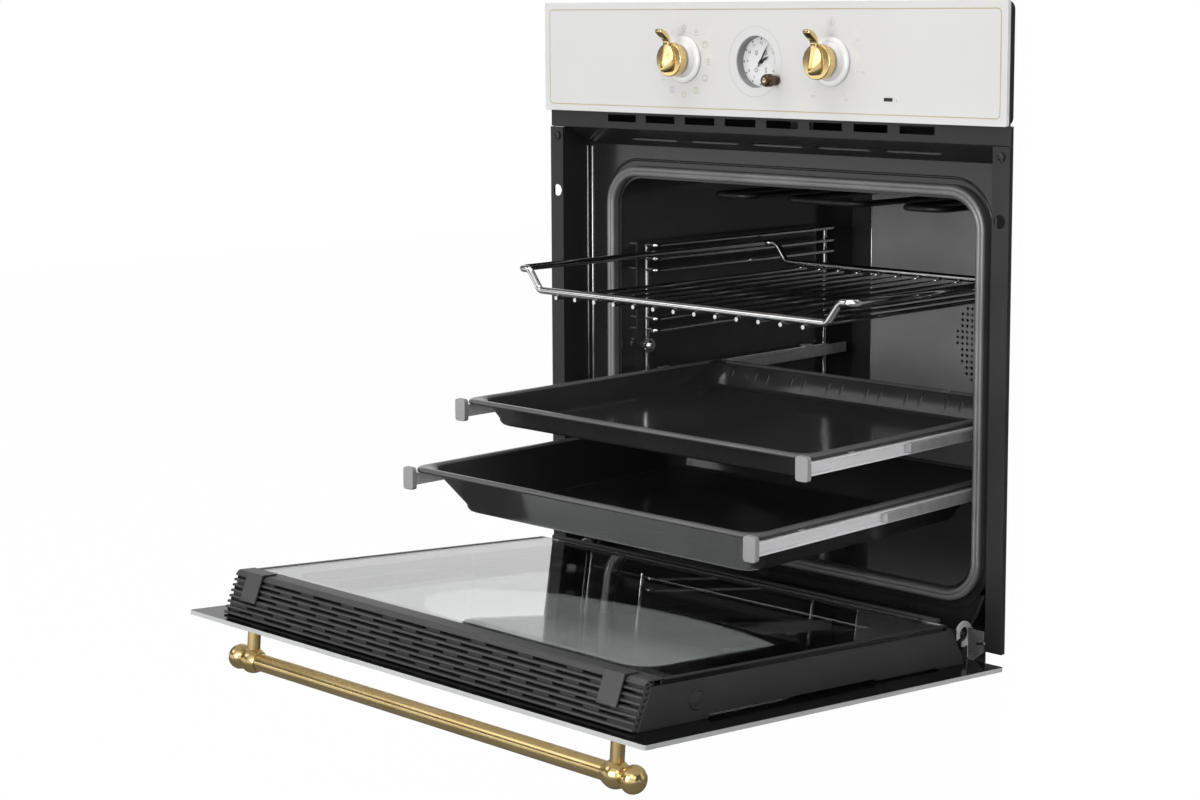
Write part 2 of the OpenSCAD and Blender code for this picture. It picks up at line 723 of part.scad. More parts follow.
module clock_hand(l, w, tail, y0, turn) {
  translate([0, y0, clock_z]) rotate([0, turn, 0]) rotate([90, 0, 0]) linear_extrude(0.5) {
    polygon([[-w / 2, -tail], [w / 2, -tail], [w * 0.7, l * 0.6], [0, l], [-w * 0.7, l * 0.6]]);
    circle(w * 1.3);
  }
}

module hour_hand() {
  y0 = front_y + 1 + clock_well;
  color("#202022") difference() {
    union() {
      clock_hand(11, 1.6, 4, y0 - 1, 62);
      translate([0, y0 + 4, clock_z]) rotate([90, 0, 0]) cylinder(d = 3, h = 5);
    }
    translate([0, y0 + 5, clock_z]) rotate([90, 0, 0]) cylinder(d = 1.5 + 2 * run_gap, h = 8);
  }
}

module minute_hand() {
  y0 = front_y + 1 + clock_well;
  color("#202022") {
    clock_hand(18, 1.1, 6, y0 - 2, 30);
    translate([0, y0 + 4, clock_z]) rotate([90, 0, 0]) cylinder(d = 1.5, h = 6);
  }
}

module clock_set_knob() {
  color("#8a6236") translate([set_knob_at.x, front_y, set_knob_at.y]) rotate([90, 0, 0]) {
    translate([0, 0, -20]) cylinder(d = 3, h = 21);
    rotate_extrude() polygon([[0, fix_gap], [4.6, fix_gap], [5, 3], [4, 5], [4, 6.5], [5.6, 8],
      [5.6, 17], [4.4, 19], [0, 19.6]]);
    for (a = [0 : 22.5 : 337.5]) rotate(a) translate([5.6, 0, 8.5]) cylinder(d = 1.3, h = 8, $fn = 6);
  }
}

module indicator_lens() {
  color("#3a3a3c") translate([lens_at.x - 5.1, front_y + 0.2, lens_at.y - 1.6])
    cube([10.2, glass_t + 2, 3.2]);
}

// Tangential blower lying across the space over the cavity
module blower_housing() {
  w = 236;
  mid_y = blower_y;
  mid_z = blower_z;
  z0 = mid_z - 48;
  foot_z = cavity_z + cavity_h + cavity_t + insulation_t + 1;
  color("#b9bcbe") {
    sideways(-w / 2, w) difference() {
      union() {
        translate([mid_y, mid_z]) circle(38);
        translate([60, z0 + 8]) square([mid_y - 60, 34]);
      }
      translate([mid_y, mid_z]) circle(36.8);
      translate([50, z0 + 9.2]) square([mid_y - 50, 31.6]);
      translate([mid_y + 5, mid_z]) square([60, 60]);
    }
    for (x = [-1, 1]) translate([x * (w / 2 + 0.5) - 0.5, mid_y, mid_z]) rotate([0, 90, 0]) difference() {
      cylinder(d = 76, h = 1);
      translate([0, 0, -1]) cylinder(d = 6 + 2 * run_gap, h = 3);
    }
    for (x = [-w / 2, w / 2 - 12]) translate([x, mid_y - 12, foot_z]) cube([12, 24, z0 + 11 - foot_z]);
    translate([w / 2 + 12, mid_y, mid_z]) rotate([0, 90, 0]) difference() {
      union() {
        cylinder(d = 46, h = 30);
        for (a = [0, 180]) rotate(a) translate([18, -4, -11.2]) cube([8, 8, 12]);
      }
      translate([0, 0, -1]) cylinder(d = 6 + 2 * run_gap, h = 20);
    }
  }
}

module blower_wheel() {
  w = 226;
  blades = 16;
  r = 28;
  color("#9a9da0") translate([-w / 2, blower_y, blower_z]) rotate([0, 90, 0]) {
    for (x = [0, w / 2 - 0.5, w - 1]) translate([0, 0, x]) cylinder(r = r, h = 1);
    for (k = [0 : blades - 1]) rotate(360 / blades * k) translate([r - 7, 0, 0]) rotate(35)
      cube([6, 0.8, w]);
    translate([0, 0, -9]) cylinder(d = 6, h = w + 34);
  }
}

// Everything of the door is drawn shut, then swung open
function door_z(a) = door_gap + a;
function door_y(h) = glass_back_y + h;

module door_outer_glass() {
  color("#e9e8e5") door_open() upright(front_y, glass_t) difference() {
    translate([0, door_z(door_h / 2)]) rounded(front_w, door_h, 3);
    for (x = [-1, 1]) translate([x * handle_gap / 2, door_z(handle_z)]) circle(d = 5.5);
  }
}

module door_middle_glass() {
  low = frame_low + 15;
  high = profile_low - 18;
  color("#c8d0d0") door_open() upright(door_y(18), inner_glass_t - 0.8)
    translate([0, door_z((low + high) / 2)])
    square([2 * (hinge_x - 6.5 - fix_gap), high - low], center = true);
}

module door_inner_glass() {
  color("#2a2a2c") door_open() upright(door_y(inner_door_t - inner_glass_t), inner_glass_t)
    translate([0, door_z((frame_low + profile_low - 17) / 2)])
      rounded(inner_door_w - 1, profile_low - 17 - frame_low, 2);
}

module door_side_frame() {
  w = 15;
  x0 = inner_door_w / 2 - w;
  top = inner_door_t - inner_glass_t - fix_gap;
  difference() {
    sideways(x0, w) polygon([[door_y(0.2), door_z(frame_low)], [door_y(top), door_z(frame_low)],
      [door_y(top), door_z(profile_low - 6)],
      [door_y(0.2), door_z(profile_high - 6)]]);
    sideways(x0 - 1, w - 1.2) polygon([[door_y(4.7), door_z(frame_low - 1)],
      [door_y(top - 2.5), door_z(frame_low - 1)],
      [door_y(top - 2.5), door_z(profile_low - 10)], [door_y(4.7), door_z(profile_high - 14)]]);
    sideways(x0 - 1, w + 2) polygon([[door_y(-1), door_z(150)], [door_y(3.6), door_z(153)],
      [door_y(3.6), door_z(profile_low - 76)], [door_y(-1), door_z(profile_low - 73)]]);
    sideways(x0 - 1, w + 2) polygon([[door_y(-1), door_z(60)], [door_y(1.8), door_z(62)],
      [door_y(1.8), door_z(154)], [door_y(-1), door_z(154)]]);
    translate([x0 + w - 5, door_y(17.8), door_z(profile_low - 59)]) rotate([0, 90, 0]) cylinder(d = 18, h = 10);
  }
}

module door_side_frames() { color("#333336") door_open() both_sides() door_side_frame(); }

// Sloping wall of the top profile, set back behind the rib tips
module vent_wall(x0, w, back) {
  low = profile_low - back;
  high = profile_high - back;
  sideways(x0, w) polygon([[door_y(0.3), door_z(high - 5)], [door_y(0.3), door_z(high - 3)],
    [door_y(inner_door_t + 1), door_z(low - 3)], [door_y(inner_door_t + 1), door_z(low - 5.4)],
    [door_y(inner_door_t - 1), door_z(low - 5.4)]]);
}

// Top profile: ribs with staggered air slots between them
module door_vent_profile() {
  w = inner_door_w - 2;
  ribs = 8;
  lean = (profile_high - profile_low) / inner_door_t;
  color("#333336") door_open() difference() {
    union() {
      for (x = [-w / 2, hinge_x]) vent_wall(x, w / 2 - hinge_x, 0);
      vent_wall(-hinge_x - 0.2, 2 * hinge_x + 0.4, 5);
      sideways(-w / 2, w) polygon([[door_y(inner_door_t + 0.2), door_z(profile_low - 3)],
        [door_y(inner_door_t + 1.5), door_z(profile_low - 4)],
          [door_y(inner_door_t + 1.5), door_z(profile_low - 20)],
        [door_y(inner_door_t + 0.2), door_z(profile_low - 20)]]);
      for (k = [0 : ribs - 1]) {
        h = 1 + 4.9 * k;
        z = profile_high - lean * h;
        sideways(-w / 2, w) polygon([[door_y(h), door_z(z - 4)], [door_y(h + 1.9), door_z(z - 4.6)],
          [door_y(h + 1.7), door_z(z - 0.4)], [door_y(h + 0.95), door_z(z)],
            [door_y(h + 0.2), door_z(z - 0.4)]]);
        sideways(-hinge_x - 0.2, 2 * hinge_x + 0.4) polygon([[door_y(h), door_z(z - 9)], [door_y(h + 1.9), door_z(z - 9.6)],
          [door_y(h + 1.9), door_z(z - 4)], [door_y(h), door_z(z - 3.8)]]);
      }
    }
    for (k = [0 : ribs - 2], i = [-4 : 4]) {
      h = 1 + 4.9 * k + 2.1;
      translate([i * 58 + (k % 2 == 0 ? 8 : -8) - 20, door_y(h), door_z(profile_low - 17)])
        cube([40, 2.3, 30]);
    }
  }
}

module door_clips() {
  lean = (profile_high - profile_low) / inner_door_t;
  color("#2b2b2d") door_open() both_sides() sideways(224, 22) polygon([
    [door_y(inner_door_t + 2), door_z(profile_low - 14)],
      [door_y(inner_door_t + 3.2), door_z(profile_low - 14)],
    [door_y(inner_door_t + 3.2), door_z(profile_low + 2.6)],
      [door_y(16), door_z(profile_high - lean * 16 + 3)],
    [door_y(16), door_z(profile_high - lean * 16 + 1)],
      [door_y(inner_door_t + 2), door_z(profile_low + 1.2)]]);
}

module door_bottom_profile() {
  w = 2 * (hinge_x - 12);
  color("#2b2b2d") door_open() {
    sideways(-w / 2, w) polygon([[door_y(8), door_z(40)], [door_y(8), door_z(42)],
      [door_y(inner_door_t - inner_glass_t - 2), door_z(42)],
      [door_y(inner_door_t - inner_glass_t - 2), door_z(56)],
        [door_y(inner_door_t - inner_glass_t - 0.4), door_z(56)],
      [door_y(inner_door_t - inner_glass_t - 0.4), door_z(49.2)],
        [door_y(inner_door_t + 0.4), door_z(49.2)],
      [door_y(inner_door_t + 0.4), door_z(56)], [door_y(inner_door_t + 2), door_z(56)],
        [door_y(inner_door_t + 2), door_z(40)]]);
    translate([0, door_y(inner_door_t + 1.6), door_z(frame_low - 3)]) rotate([0, 90, 0])
      cylinder(d = 5, h = 2 * (hinge_x + 5), center = true);
  }
}

module door_plugs() {
  color("#2b2b2d") door_open() both_sides() translate([inner_door_w / 2, door_y(17.8), door_z(profile_low - 59)])
    rotate([0, 90, 0]) {
    translate([0, 0, -5 + fix_gap]) cylinder(d = 18 - 2 * fix_gap, h = 4);
    translate([0, 0, -1]) rotate_extrude()
      polygon([[0, 0], [8.7, 0], [8.7, 1.4], [7.6, 2], [6.6, 1.5], [0, 2.4]]);
  }
}

// Channel in the door with a tongue that reaches the hinge pin
module hinge_body() {
  x0 = hinge_x - 6.5;
  difference() {
    sideways(x0, 13) polygon([[door_y(5), door_z(20)], [door_y(29), door_z(20)],
      [door_y(31), door_z(26)], [door_y(31), door_z(168)],
      [door_y(5), door_z(168)]]);
    sideways(x0 + 1.5, 10) polygon([[door_y(6.5), door_z(18)], [door_y(32), door_z(18)],
      [door_y(32), door_z(170)], [door_y(6.5), door_z(170)]]);
  }
  sideways(x0, 1.5) union() {
    translate([hinge_y, hinge_z]) circle(7);
    polygon([[hinge_y - 7, hinge_z], [hinge_y + 7, hinge_z], [door_y(26), door_z(24)],
      [door_y(8), door_z(24)]]);
  }
  translate([x0, hinge_y, hinge_z]) rotate([0, 90, 0]) cylinder(d = 6, h = 6.4);
}

module hinge_bodies() { color("#a9abad") door_open() both_sides() hinge_body(); }

// Flat arm with the pin bore in front and a hook behind the front frame
module hinge_arm() {
  x0 = hinge_x - 3;
  difference() {
    sideways(x0, 3) union() {
      translate([hinge_y, hinge_z]) circle(8);
      polygon([[hinge_y, -8], [26, -8], [32, 7.3], [37, 7.3], [37, 5.8], [62, 5.8], [62, 30], [56, 36],
        [48, 36],
        [48, 26], [41, 26], [41, 40], [33, 40], [24, 26], [10, 12], [hinge_y, 8]]);
    }
    translate([x0 - 1, hinge_y, hinge_z]) rotate([0, 90, 0]) cylinder(d = 6 + 2 * run_gap, h = 5);
    translate([x0 - 1, 15, 7]) rotate([0, 90, 0]) cylinder(d = 4 + 2 * run_gap, h = 5);
  }
}

module hinge_arms() { color("#b4b6b8") both_sides() hinge_arm(); }

// Curled catch that turns on the arm
module hinge_catch() {
  x0 = hinge_x + 0.4;
  sideways(x0, 2.2) difference() {
    union() {
      translate([15, 7]) circle(5);
      translate([-1.5, 11]) circle(12);
      polygon([[-1, 4], [15, 2], [15, 12], [2, 21]]);
    }
    translate([-1.5, 11]) circle(7);
    polygon([[-1.5, 11], [-20, 4], [-20, -12], [-6, -14]]);
  }
  translate([x0 - 3.4, 15, 7]) rotate([0, 90, 0]) cylinder(d = 4, h = 5);
}

module hinge_catch_left() { color("#d4d6d8") mirror([1, 0, 0]) hinge_catch(); }
module hinge_catch_right() { color("#d4d6d8") hinge_catch(); }

module handle_bar() {
  l = handle_gap - 22;
  color("#b98f35") door_open() translate([0, front_y - handle_reach, door_z(handle_z)])
    rotate([0, 90, 0]) {
    cylinder(d = handle_d, h = l, center = true);
    for (k = [-1, 1]) translate([0, 0, k * (l / 2 + 2)]) cylinder(d = handle_d - 4, h = 6, center = true);
  }
}

// Post, barrel boss and turned ball end
module handle_bracket() {
  boss_w = 21.4;
  x0 = handle_gap / 2;
  translate([x0, front_y - fix_gap, door_z(handle_z)]) rotate([90, 0, 0])
    cylinder(d = 12, h = handle_reach - 4);
  translate([x0, front_y - fix_gap, door_z(handle_z)]) rotate([90, 0, 0])
    cylinder(d1 = 15, d2 = 12, h = 3);
  translate([x0, front_y + 2, door_z(handle_z)]) rotate([90, 0, 0]) cylinder(d = 5, h = 10);
  translate([x0 - boss_w / 2, front_y - handle_reach, door_z(handle_z)]) rotate([0, 90, 0]) difference() {
    rotate_extrude() polygon(concat([[0, 0], [8.6, 0], [9.4, 1.2]],
      [for (t = [0 : 0.1 : 1]) [9.8 + 2.2 * sin(180 * t), 2 + 16 * t]],
        [[8.4, 20], [5.5, boss_w], [0, boss_w]]));
    translate([0, 0, -1]) cylinder(d = handle_d - 4 + 2 * run_gap, h = 6.2);
  }
  translate([x0 + 19, front_y - handle_reach, door_z(handle_z)]) rotate([0, 90, 0]) {
    rotate_extrude() polygon(concat([[0, -10.2]],
      [for (a = [-65 : 13 : 78]) [11.8 * cos(a), 10.6 * sin(a)]], [[0, 10.6]]));
    translate([0, 0, -12]) cylinder(d = 9, h = 6);
  }
}

module handle_brackets() { color("#b98f35") door_open() both_sides() handle_bracket(); }

// Fixed rail: a plate hooked over its pair of rack wires
module fixed_rail(z) {
  d = rack_wire_d;
  y0 = rack_front_y - 34;
  translate([fixed_x, y0, z - rail_h / 2]) cube([1.2, rail_l, rail_h]);
  for (y = [rack_front_y + 20, rack_back_y - 40]) {
    translate([fixed_x, y, z + pair_gap / 2 + d / 2 + 0.1]) cube([d + 3, 14, 1.2]);
    translate([fixed_x, y, z - 1]) cube([1.2, 14, pair_gap / 2 + d / 2 + 1.8]);
  }
}

module runner_fixed_rails() {
  color("#9a9da0") both_sides() {
    fixed_rail(upper_rail_z);
    fixed_rail(lower_rail_z);
  }
}

module middle_rail(z, out) {
  inside_h = rail_h / 2 - 1.4 - fix_gap;
  translate([moving_x + 3 + fix_gap, rack_front_y - 30 - out / 2, z - inside_h])
    cube([middle_x - moving_x - 3 - fix_gap, rail_l - 8, 2 * inside_h]);
}

// Moving rail: a channel open towards the rack
module moving_rail(z, out) {
  translate([0, -out + cap_t, z]) rotate([-90, 0, 0]) linear_extrude(rail_l) difference() {
    translate([moving_x, -rail_h / 2]) square([8, rail_h]);
    translate([moving_x + 3, -rail_h / 2 + 1.4]) square([6, rail_h - 2.8]);
  }
  for (y = [60, 330]) translate([moving_x + 0.4, -out + cap_t + y, z + rail_h / 2 - 0.5])
    cube([3, 8, rail_top_gap - 1.2 - fix_gap + 0.5]);
}

module rail_cap(z, out) {
  x0 = moving_x + 4 - cap_w / 2;
  translate([0, -out, z]) upright(0, cap_t) translate([x0 + cap_w / 2, -cap_h / 2])
    rounded(cap_w, cap_h, 3);
}

module upper_middle_rails() {
  color("#9a9da0") both_sides() middle_rail(upper_rail_z, upper_tray_out);
}

module upper_moving_rails() {
  color("#d9dadb") both_sides() moving_rail(upper_rail_z, upper_tray_out);
}

module lower_middle_rails() {
  color("#9a9da0") both_sides() middle_rail(lower_rail_z, lower_tray_out);
}

module lower_moving_rails() {
  color("#d9dadb") both_sides() moving_rail(lower_rail_z, lower_tray_out);
}

module rail_caps_upper() { color("#c9cacb") both_sides() rail_cap(upper_tray_z, upper_tray_out); }
module rail_caps_lower() { color("#c9cacb") both_sides() rail_cap(lower_tray_z, lower_tray_out); }

// Enamelled tray: sloped walls, rounded corners and a flat rim with a turned edge
module tray(z, out, h, inset) {
  t = 1;
  y0 = -out + cap_t + fix_gap;
  rim = 9;
  color("#242426") translate([0, y0 + tray_l / 2, z]) {
    difference() {
      hull() {
        translate([0, 0, -h]) linear_extrude(0.1) rounded(tray_w - 2 * inset, tray_l - 2 * inset, 12);
        translate([0, 0, -h + 4]) linear_extrude(0.1)
          rounded(tray_w - 2 * inset + 6, tray_l - 2 * inset + 6, 16);
        translate([0, 0, -1.2]) linear_extrude(1.2) rounded(tray_w - 2 * rim, tray_l - 2 * rim, 26);
      }
      hull() {
        translate([0, 0, -h + t]) linear_extrude(0.1)
          rounded(tray_w - 2 * inset - 2, tray_l - 2 * inset - 2, 11);
        translate([0, 0, -h + 4 + t]) linear_extrude(0.1)
          rounded(tray_w - 2 * inset + 4, tray_l - 2 * inset + 4, 15);
        translate([0, 0, 1]) linear_extrude(0.1)
          rounded(tray_w - 2 * rim - 1.4, tray_l - 2 * rim - 1.4, 25);
      }
    }
    difference() {
      translate([0, 0, -3.4]) linear_extrude(3.4) rounded(tray_w, tray_l, 14);
      translate([0, 0, -4.4]) linear_extrude(3.2) rounded(tray_w - 2.4, tray_l - 2.4, 13);
      translate([0, 0, -2]) linear_extrude(4) rounded(tray_w - 2 * rim - 2, tray_l - 2 * rim - 2, 25);
    }
  }
}

module upper_tray() { tray(upper_tray_z, upper_tray_out, upper_tray_h, 30); }
module lower_tray() { tray(lower_tray_z, lower_tray_out, lower_tray_h, 34); }

// Shelf: a wire frame whose front and back bars dip below the side rails, with thin wires under them
module wire_shelf() {
  rail_x = rack_x - 17.2;
  drop = 20;
  slope = 15;
  bar_x = rail_x - 29.5;
  y0 = -shelf_out + 3.5;
  y1 = y0 + shelf_l;
  z1 = shelf_z - drop;
  d = shelf_d;
  thin = 4;
  side_wires = floor(shelf_wires / 2);
  step = 26.8;
  weld_gap = 0.1;
  thin_z = z1 - d / 2 - weld_gap - thin / 2;
  color("#d4d6d8") {
    for (s = [0, 1]) translate([0, s * (y0 + y1), 0]) mirror([0, s, 0])
      wire([[-rail_x, (y0 + y1) / 2, shelf_z], [-rail_x, y0, shelf_z], [-bar_x - slope, y0, shelf_z],
        [-bar_x, y0, z1],
        [bar_x, y0, z1], [bar_x + slope, y0, shelf_z], [rail_x, y0, shelf_z],
          [rail_x, (y0 + y1) / 2, shelf_z]], d, 8);
    for (k = [-side_wires : side_wires])
      bar([k * step, y0 - 3, thin_z], [k * step, y1 + 3, thin_z], thin);
  }
}

side_panel_left();
side_panel_right();
rear_panel();
top_cover();
base_plate();
front_frame();
insulation();
panel_screws();
terminal_block();
cavity();
door_gasket();
fan_cover();
convection_fan();
fan_motor();
ring_heater();
grill_heater();
bottom_heater();
lamp_holder();
lamp_glass();
side_racks();
fascia_glass();
fascia_housing();
vent_strip();
knob_bezels();
function_knob();
temperature_knob();
selector_switch();
thermostat();
clock_case();
clock_dial();
hour_hand();
minute_hand();
clock_set_knob();
indicator_lens();
blower_housing();
blower_wheel();
door_outer_glass();
door_middle_glass();
door_inner_glass();
door_side_frames();
door_vent_profile();
door_clips();
door_bottom_profile();
door_plugs();
hinge_bodies();
hinge_arms();
hinge_catch_left();
hinge_catch_right();
handle_bar();
handle_brackets();
runner_fixed_rails();
upper_middle_rails();
upper_moving_rails();
lower_middle_rails();
lower_moving_rails();
rail_caps_upper();
rail_caps_lower();
upper_tray();
lower_tray();
wire_shelf();
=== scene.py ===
from math import cos, pi, radians, sin

import bpy
from mathutils import Matrix, Vector


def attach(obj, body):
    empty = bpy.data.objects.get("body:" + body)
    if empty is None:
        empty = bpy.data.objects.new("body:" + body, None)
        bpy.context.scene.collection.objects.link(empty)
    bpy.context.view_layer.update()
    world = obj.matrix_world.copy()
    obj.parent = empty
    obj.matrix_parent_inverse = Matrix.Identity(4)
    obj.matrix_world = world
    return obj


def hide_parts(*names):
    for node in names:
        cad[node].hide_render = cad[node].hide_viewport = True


mm = 0.001
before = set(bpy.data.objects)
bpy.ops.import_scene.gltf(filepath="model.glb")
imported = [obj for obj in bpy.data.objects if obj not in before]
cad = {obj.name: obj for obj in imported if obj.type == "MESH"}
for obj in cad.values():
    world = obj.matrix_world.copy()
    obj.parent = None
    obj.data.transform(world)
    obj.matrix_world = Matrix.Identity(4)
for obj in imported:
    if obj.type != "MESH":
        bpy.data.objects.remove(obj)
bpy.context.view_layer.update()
print("frame loaded:", len(cad), "nodes")


# small tools

def pick(*things):
    bpy.ops.object.select_all(action="DESELECT")
    for thing in things:
        thing.select_set(True)
    bpy.context.view_layer.objects.active = things[-1]


def added(name):
    thing = bpy.context.active_object
    thing.name = name
    thing.data.name = name
    return thing


def settle(thing):  # place, turn and size go into the mesh
    pick(thing)
    bpy.ops.object.transform_apply(location=True, rotation=True, scale=True)
    return thing


def modify(thing, kind, **values):
    step = thing.modifiers.new(kind.lower(), kind)
    for key, value in values.items():
        setattr(step, key, value)
    pick(thing)
    bpy.ops.object.modifier_apply(modifier=step.name)


def objectMode():
    bpy.ops.object.mode_set(mode="OBJECT")


def smooth(thing, angle=35):
    pick(thing)
    bpy.ops.object.shade_smooth_by_angle(angle=radians(angle))


def joined(things, name):
    pick(*things)
    bpy.ops.object.join()
    return added(name)


def rounded(thing, width, segments=2, angle=60):  # takes the sharp edges off
    modify(thing, "BEVEL", width=width * mm, segments=segments, limit_method="ANGLE", angle_limit=radians(angle))


def inMetres(outlines):
    return [[(x * mm, z * mm) for x, z in points] for points in outlines]


def flatShape(name, outlines, thickness):  # the curve lies in X and Z, and its thickness runs along Y
    curve = bpy.data.curves.new(name, "CURVE")
    curve.dimensions = "2D"
    curve.fill_mode = "BOTH"
    curve.extrude = thickness / 2
    for points in outlines:
        line = curve.splines.new("POLY")
        line.points.add(len(points) - 1)
        for spot, (x, z) in zip(line.points, points):
            spot.co = (x, z, 0, 1)
        line.use_cyclic_u = True
    shape = bpy.data.objects.new(name, curve)
    bpy.context.collection.objects.link(shape)
    pick(shape)
    bpy.ops.object.convert(target="MESH")
    shape = added(name)
    shape.rotation_euler = (pi / 2, 0, 0)
    return settle(shape)


def roundedRing(halfW, low, high, radius, steps=8):  # corners of a rounded rectangle, centred on X
    points = []
    for cx, cz, start in ((halfW, high, 0), (-halfW, high, 90), (-halfW, low, 180), (halfW, low, 270)):
        cx -= radius if cx > 0 else -radius
        cz -= radius if cz == high else -radius
        for k in range(steps + 1):
            a = radians(start + 90 * k / steps)
            points.append((cx + radius * cos(a), cz + radius * sin(a)))
    return points


def ellipse(cx, cz, rx, rz, steps=96):
    return [(cx + rx * cos(2 * pi * k / steps), cz + rz * sin(2 * pi * k / steps)) for k in range(steps)]


# finishes

def fresh(name):
    made = bpy.data.materials.new(name)
    made.use_nodes = True
    tree = made.node_tree
    return made, tree.nodes, tree.links, tree.nodes["Principled BSDF"]


def numbers(nodes, kind, **values):
    step = nodes.new(kind)
    for key, value in values.items():
        step.inputs[key].default_value = value
    return step


def reckon(tree, kind, *values):  # a Math node; each input is a number or another node's output
    step = tree.nodes.new("ShaderNodeMath")
    step.operation = kind
    for spot, value in zip(step.inputs, values):
        if isinstance(value, (int, float)):
            spot.default_value = value
        else:
            tree.links.new(value, spot)
    return step.outputs[0]


def fade(tree, value, low, high):  # 0 below low, 1 above high
    step = tree.nodes.new("ShaderNodeMapRange")
    step.interpolation_type = "SMOOTHSTEP"
    step.inputs["From Min"].default_value = low
    step.inputs["From Max"].default_value = high
    tree.links.new(value, step.inputs["Value"])
    return step.outputs["Result"]


def finish(name, dark, light, rough=(0.35, 0.45), metal=0.0, cloud=14.0, grain=700.0, depth=0.02, stretch=(1, 1, 1),
           coat=0.0, coatRough=0.08, specular=0.5, ior=1.5, edge=0.0):
    made, nodes, links, shader = fresh(name)
    place = nodes.new("ShaderNodeTexCoord")
    turn = nodes.new("ShaderNodeMapping")
    turn.inputs["Scale"].default_value = stretch
    links.new(place.outputs["Object"], turn.inputs["Vector"])
    clouds = numbers(nodes, "ShaderNodeTexNoise", Scale=cloud, Detail=4.0, Roughness=0.55)
    links.new(turn.outputs["Vector"], clouds.inputs["Vector"])
    tone = nodes.new("ShaderNodeValToRGB")
    tone.color_ramp.elements[0].position = 0.3
    tone.color_ramp.elements[1].position = 0.7
    tone.color_ramp.elements[0].color = (*dark, 1)
    tone.color_ramp.elements[1].color = (*light, 1)
    links.new(clouds.outputs["Fac"], tone.inputs["Fac"])
    links.new(tone.outputs["Color"], shader.inputs["Base Color"])
    fine = numbers(nodes, "ShaderNodeTexNoise", Scale=grain, Detail=3.0, Roughness=0.6)
    links.new(turn.outputs["Vector"], fine.inputs["Vector"])
    spread = nodes.new("ShaderNodeMapRange")
    spread.inputs["To Min"].default_value = rough[0]
    spread.inputs["To Max"].default_value = rough[1]
    links.new(clouds.outputs["Fac"], spread.inputs["Value"])
    links.new(spread.outputs["Result"], shader.inputs["Roughness"])
    bump = numbers(nodes, "ShaderNodeBump", Strength=0.35, Distance=depth * mm)
    links.new(fine.outputs["Fac"], bump.inputs["Height"])
    if edge:  # rounds the look of a folded or moulded edge
        soft = numbers(nodes, "ShaderNodeBevel", Radius=edge * mm)
        soft.samples = 4
        links.new(soft.outputs["Normal"], bump.inputs["Normal"])
    links.new(bump.outputs["Normal"], shader.inputs["Normal"])
    shader.inputs["Metallic"].default_value = metal
    shader.inputs["IOR"].default_value = ior
    shader.inputs["Specular IOR Level"].default_value = specular
    shader.inputs["Coat Weight"].default_value = coat
    shader.inputs["Coat Roughness"].default_value = coatRough
    return made


def grey(value):
    return (value, value, value)


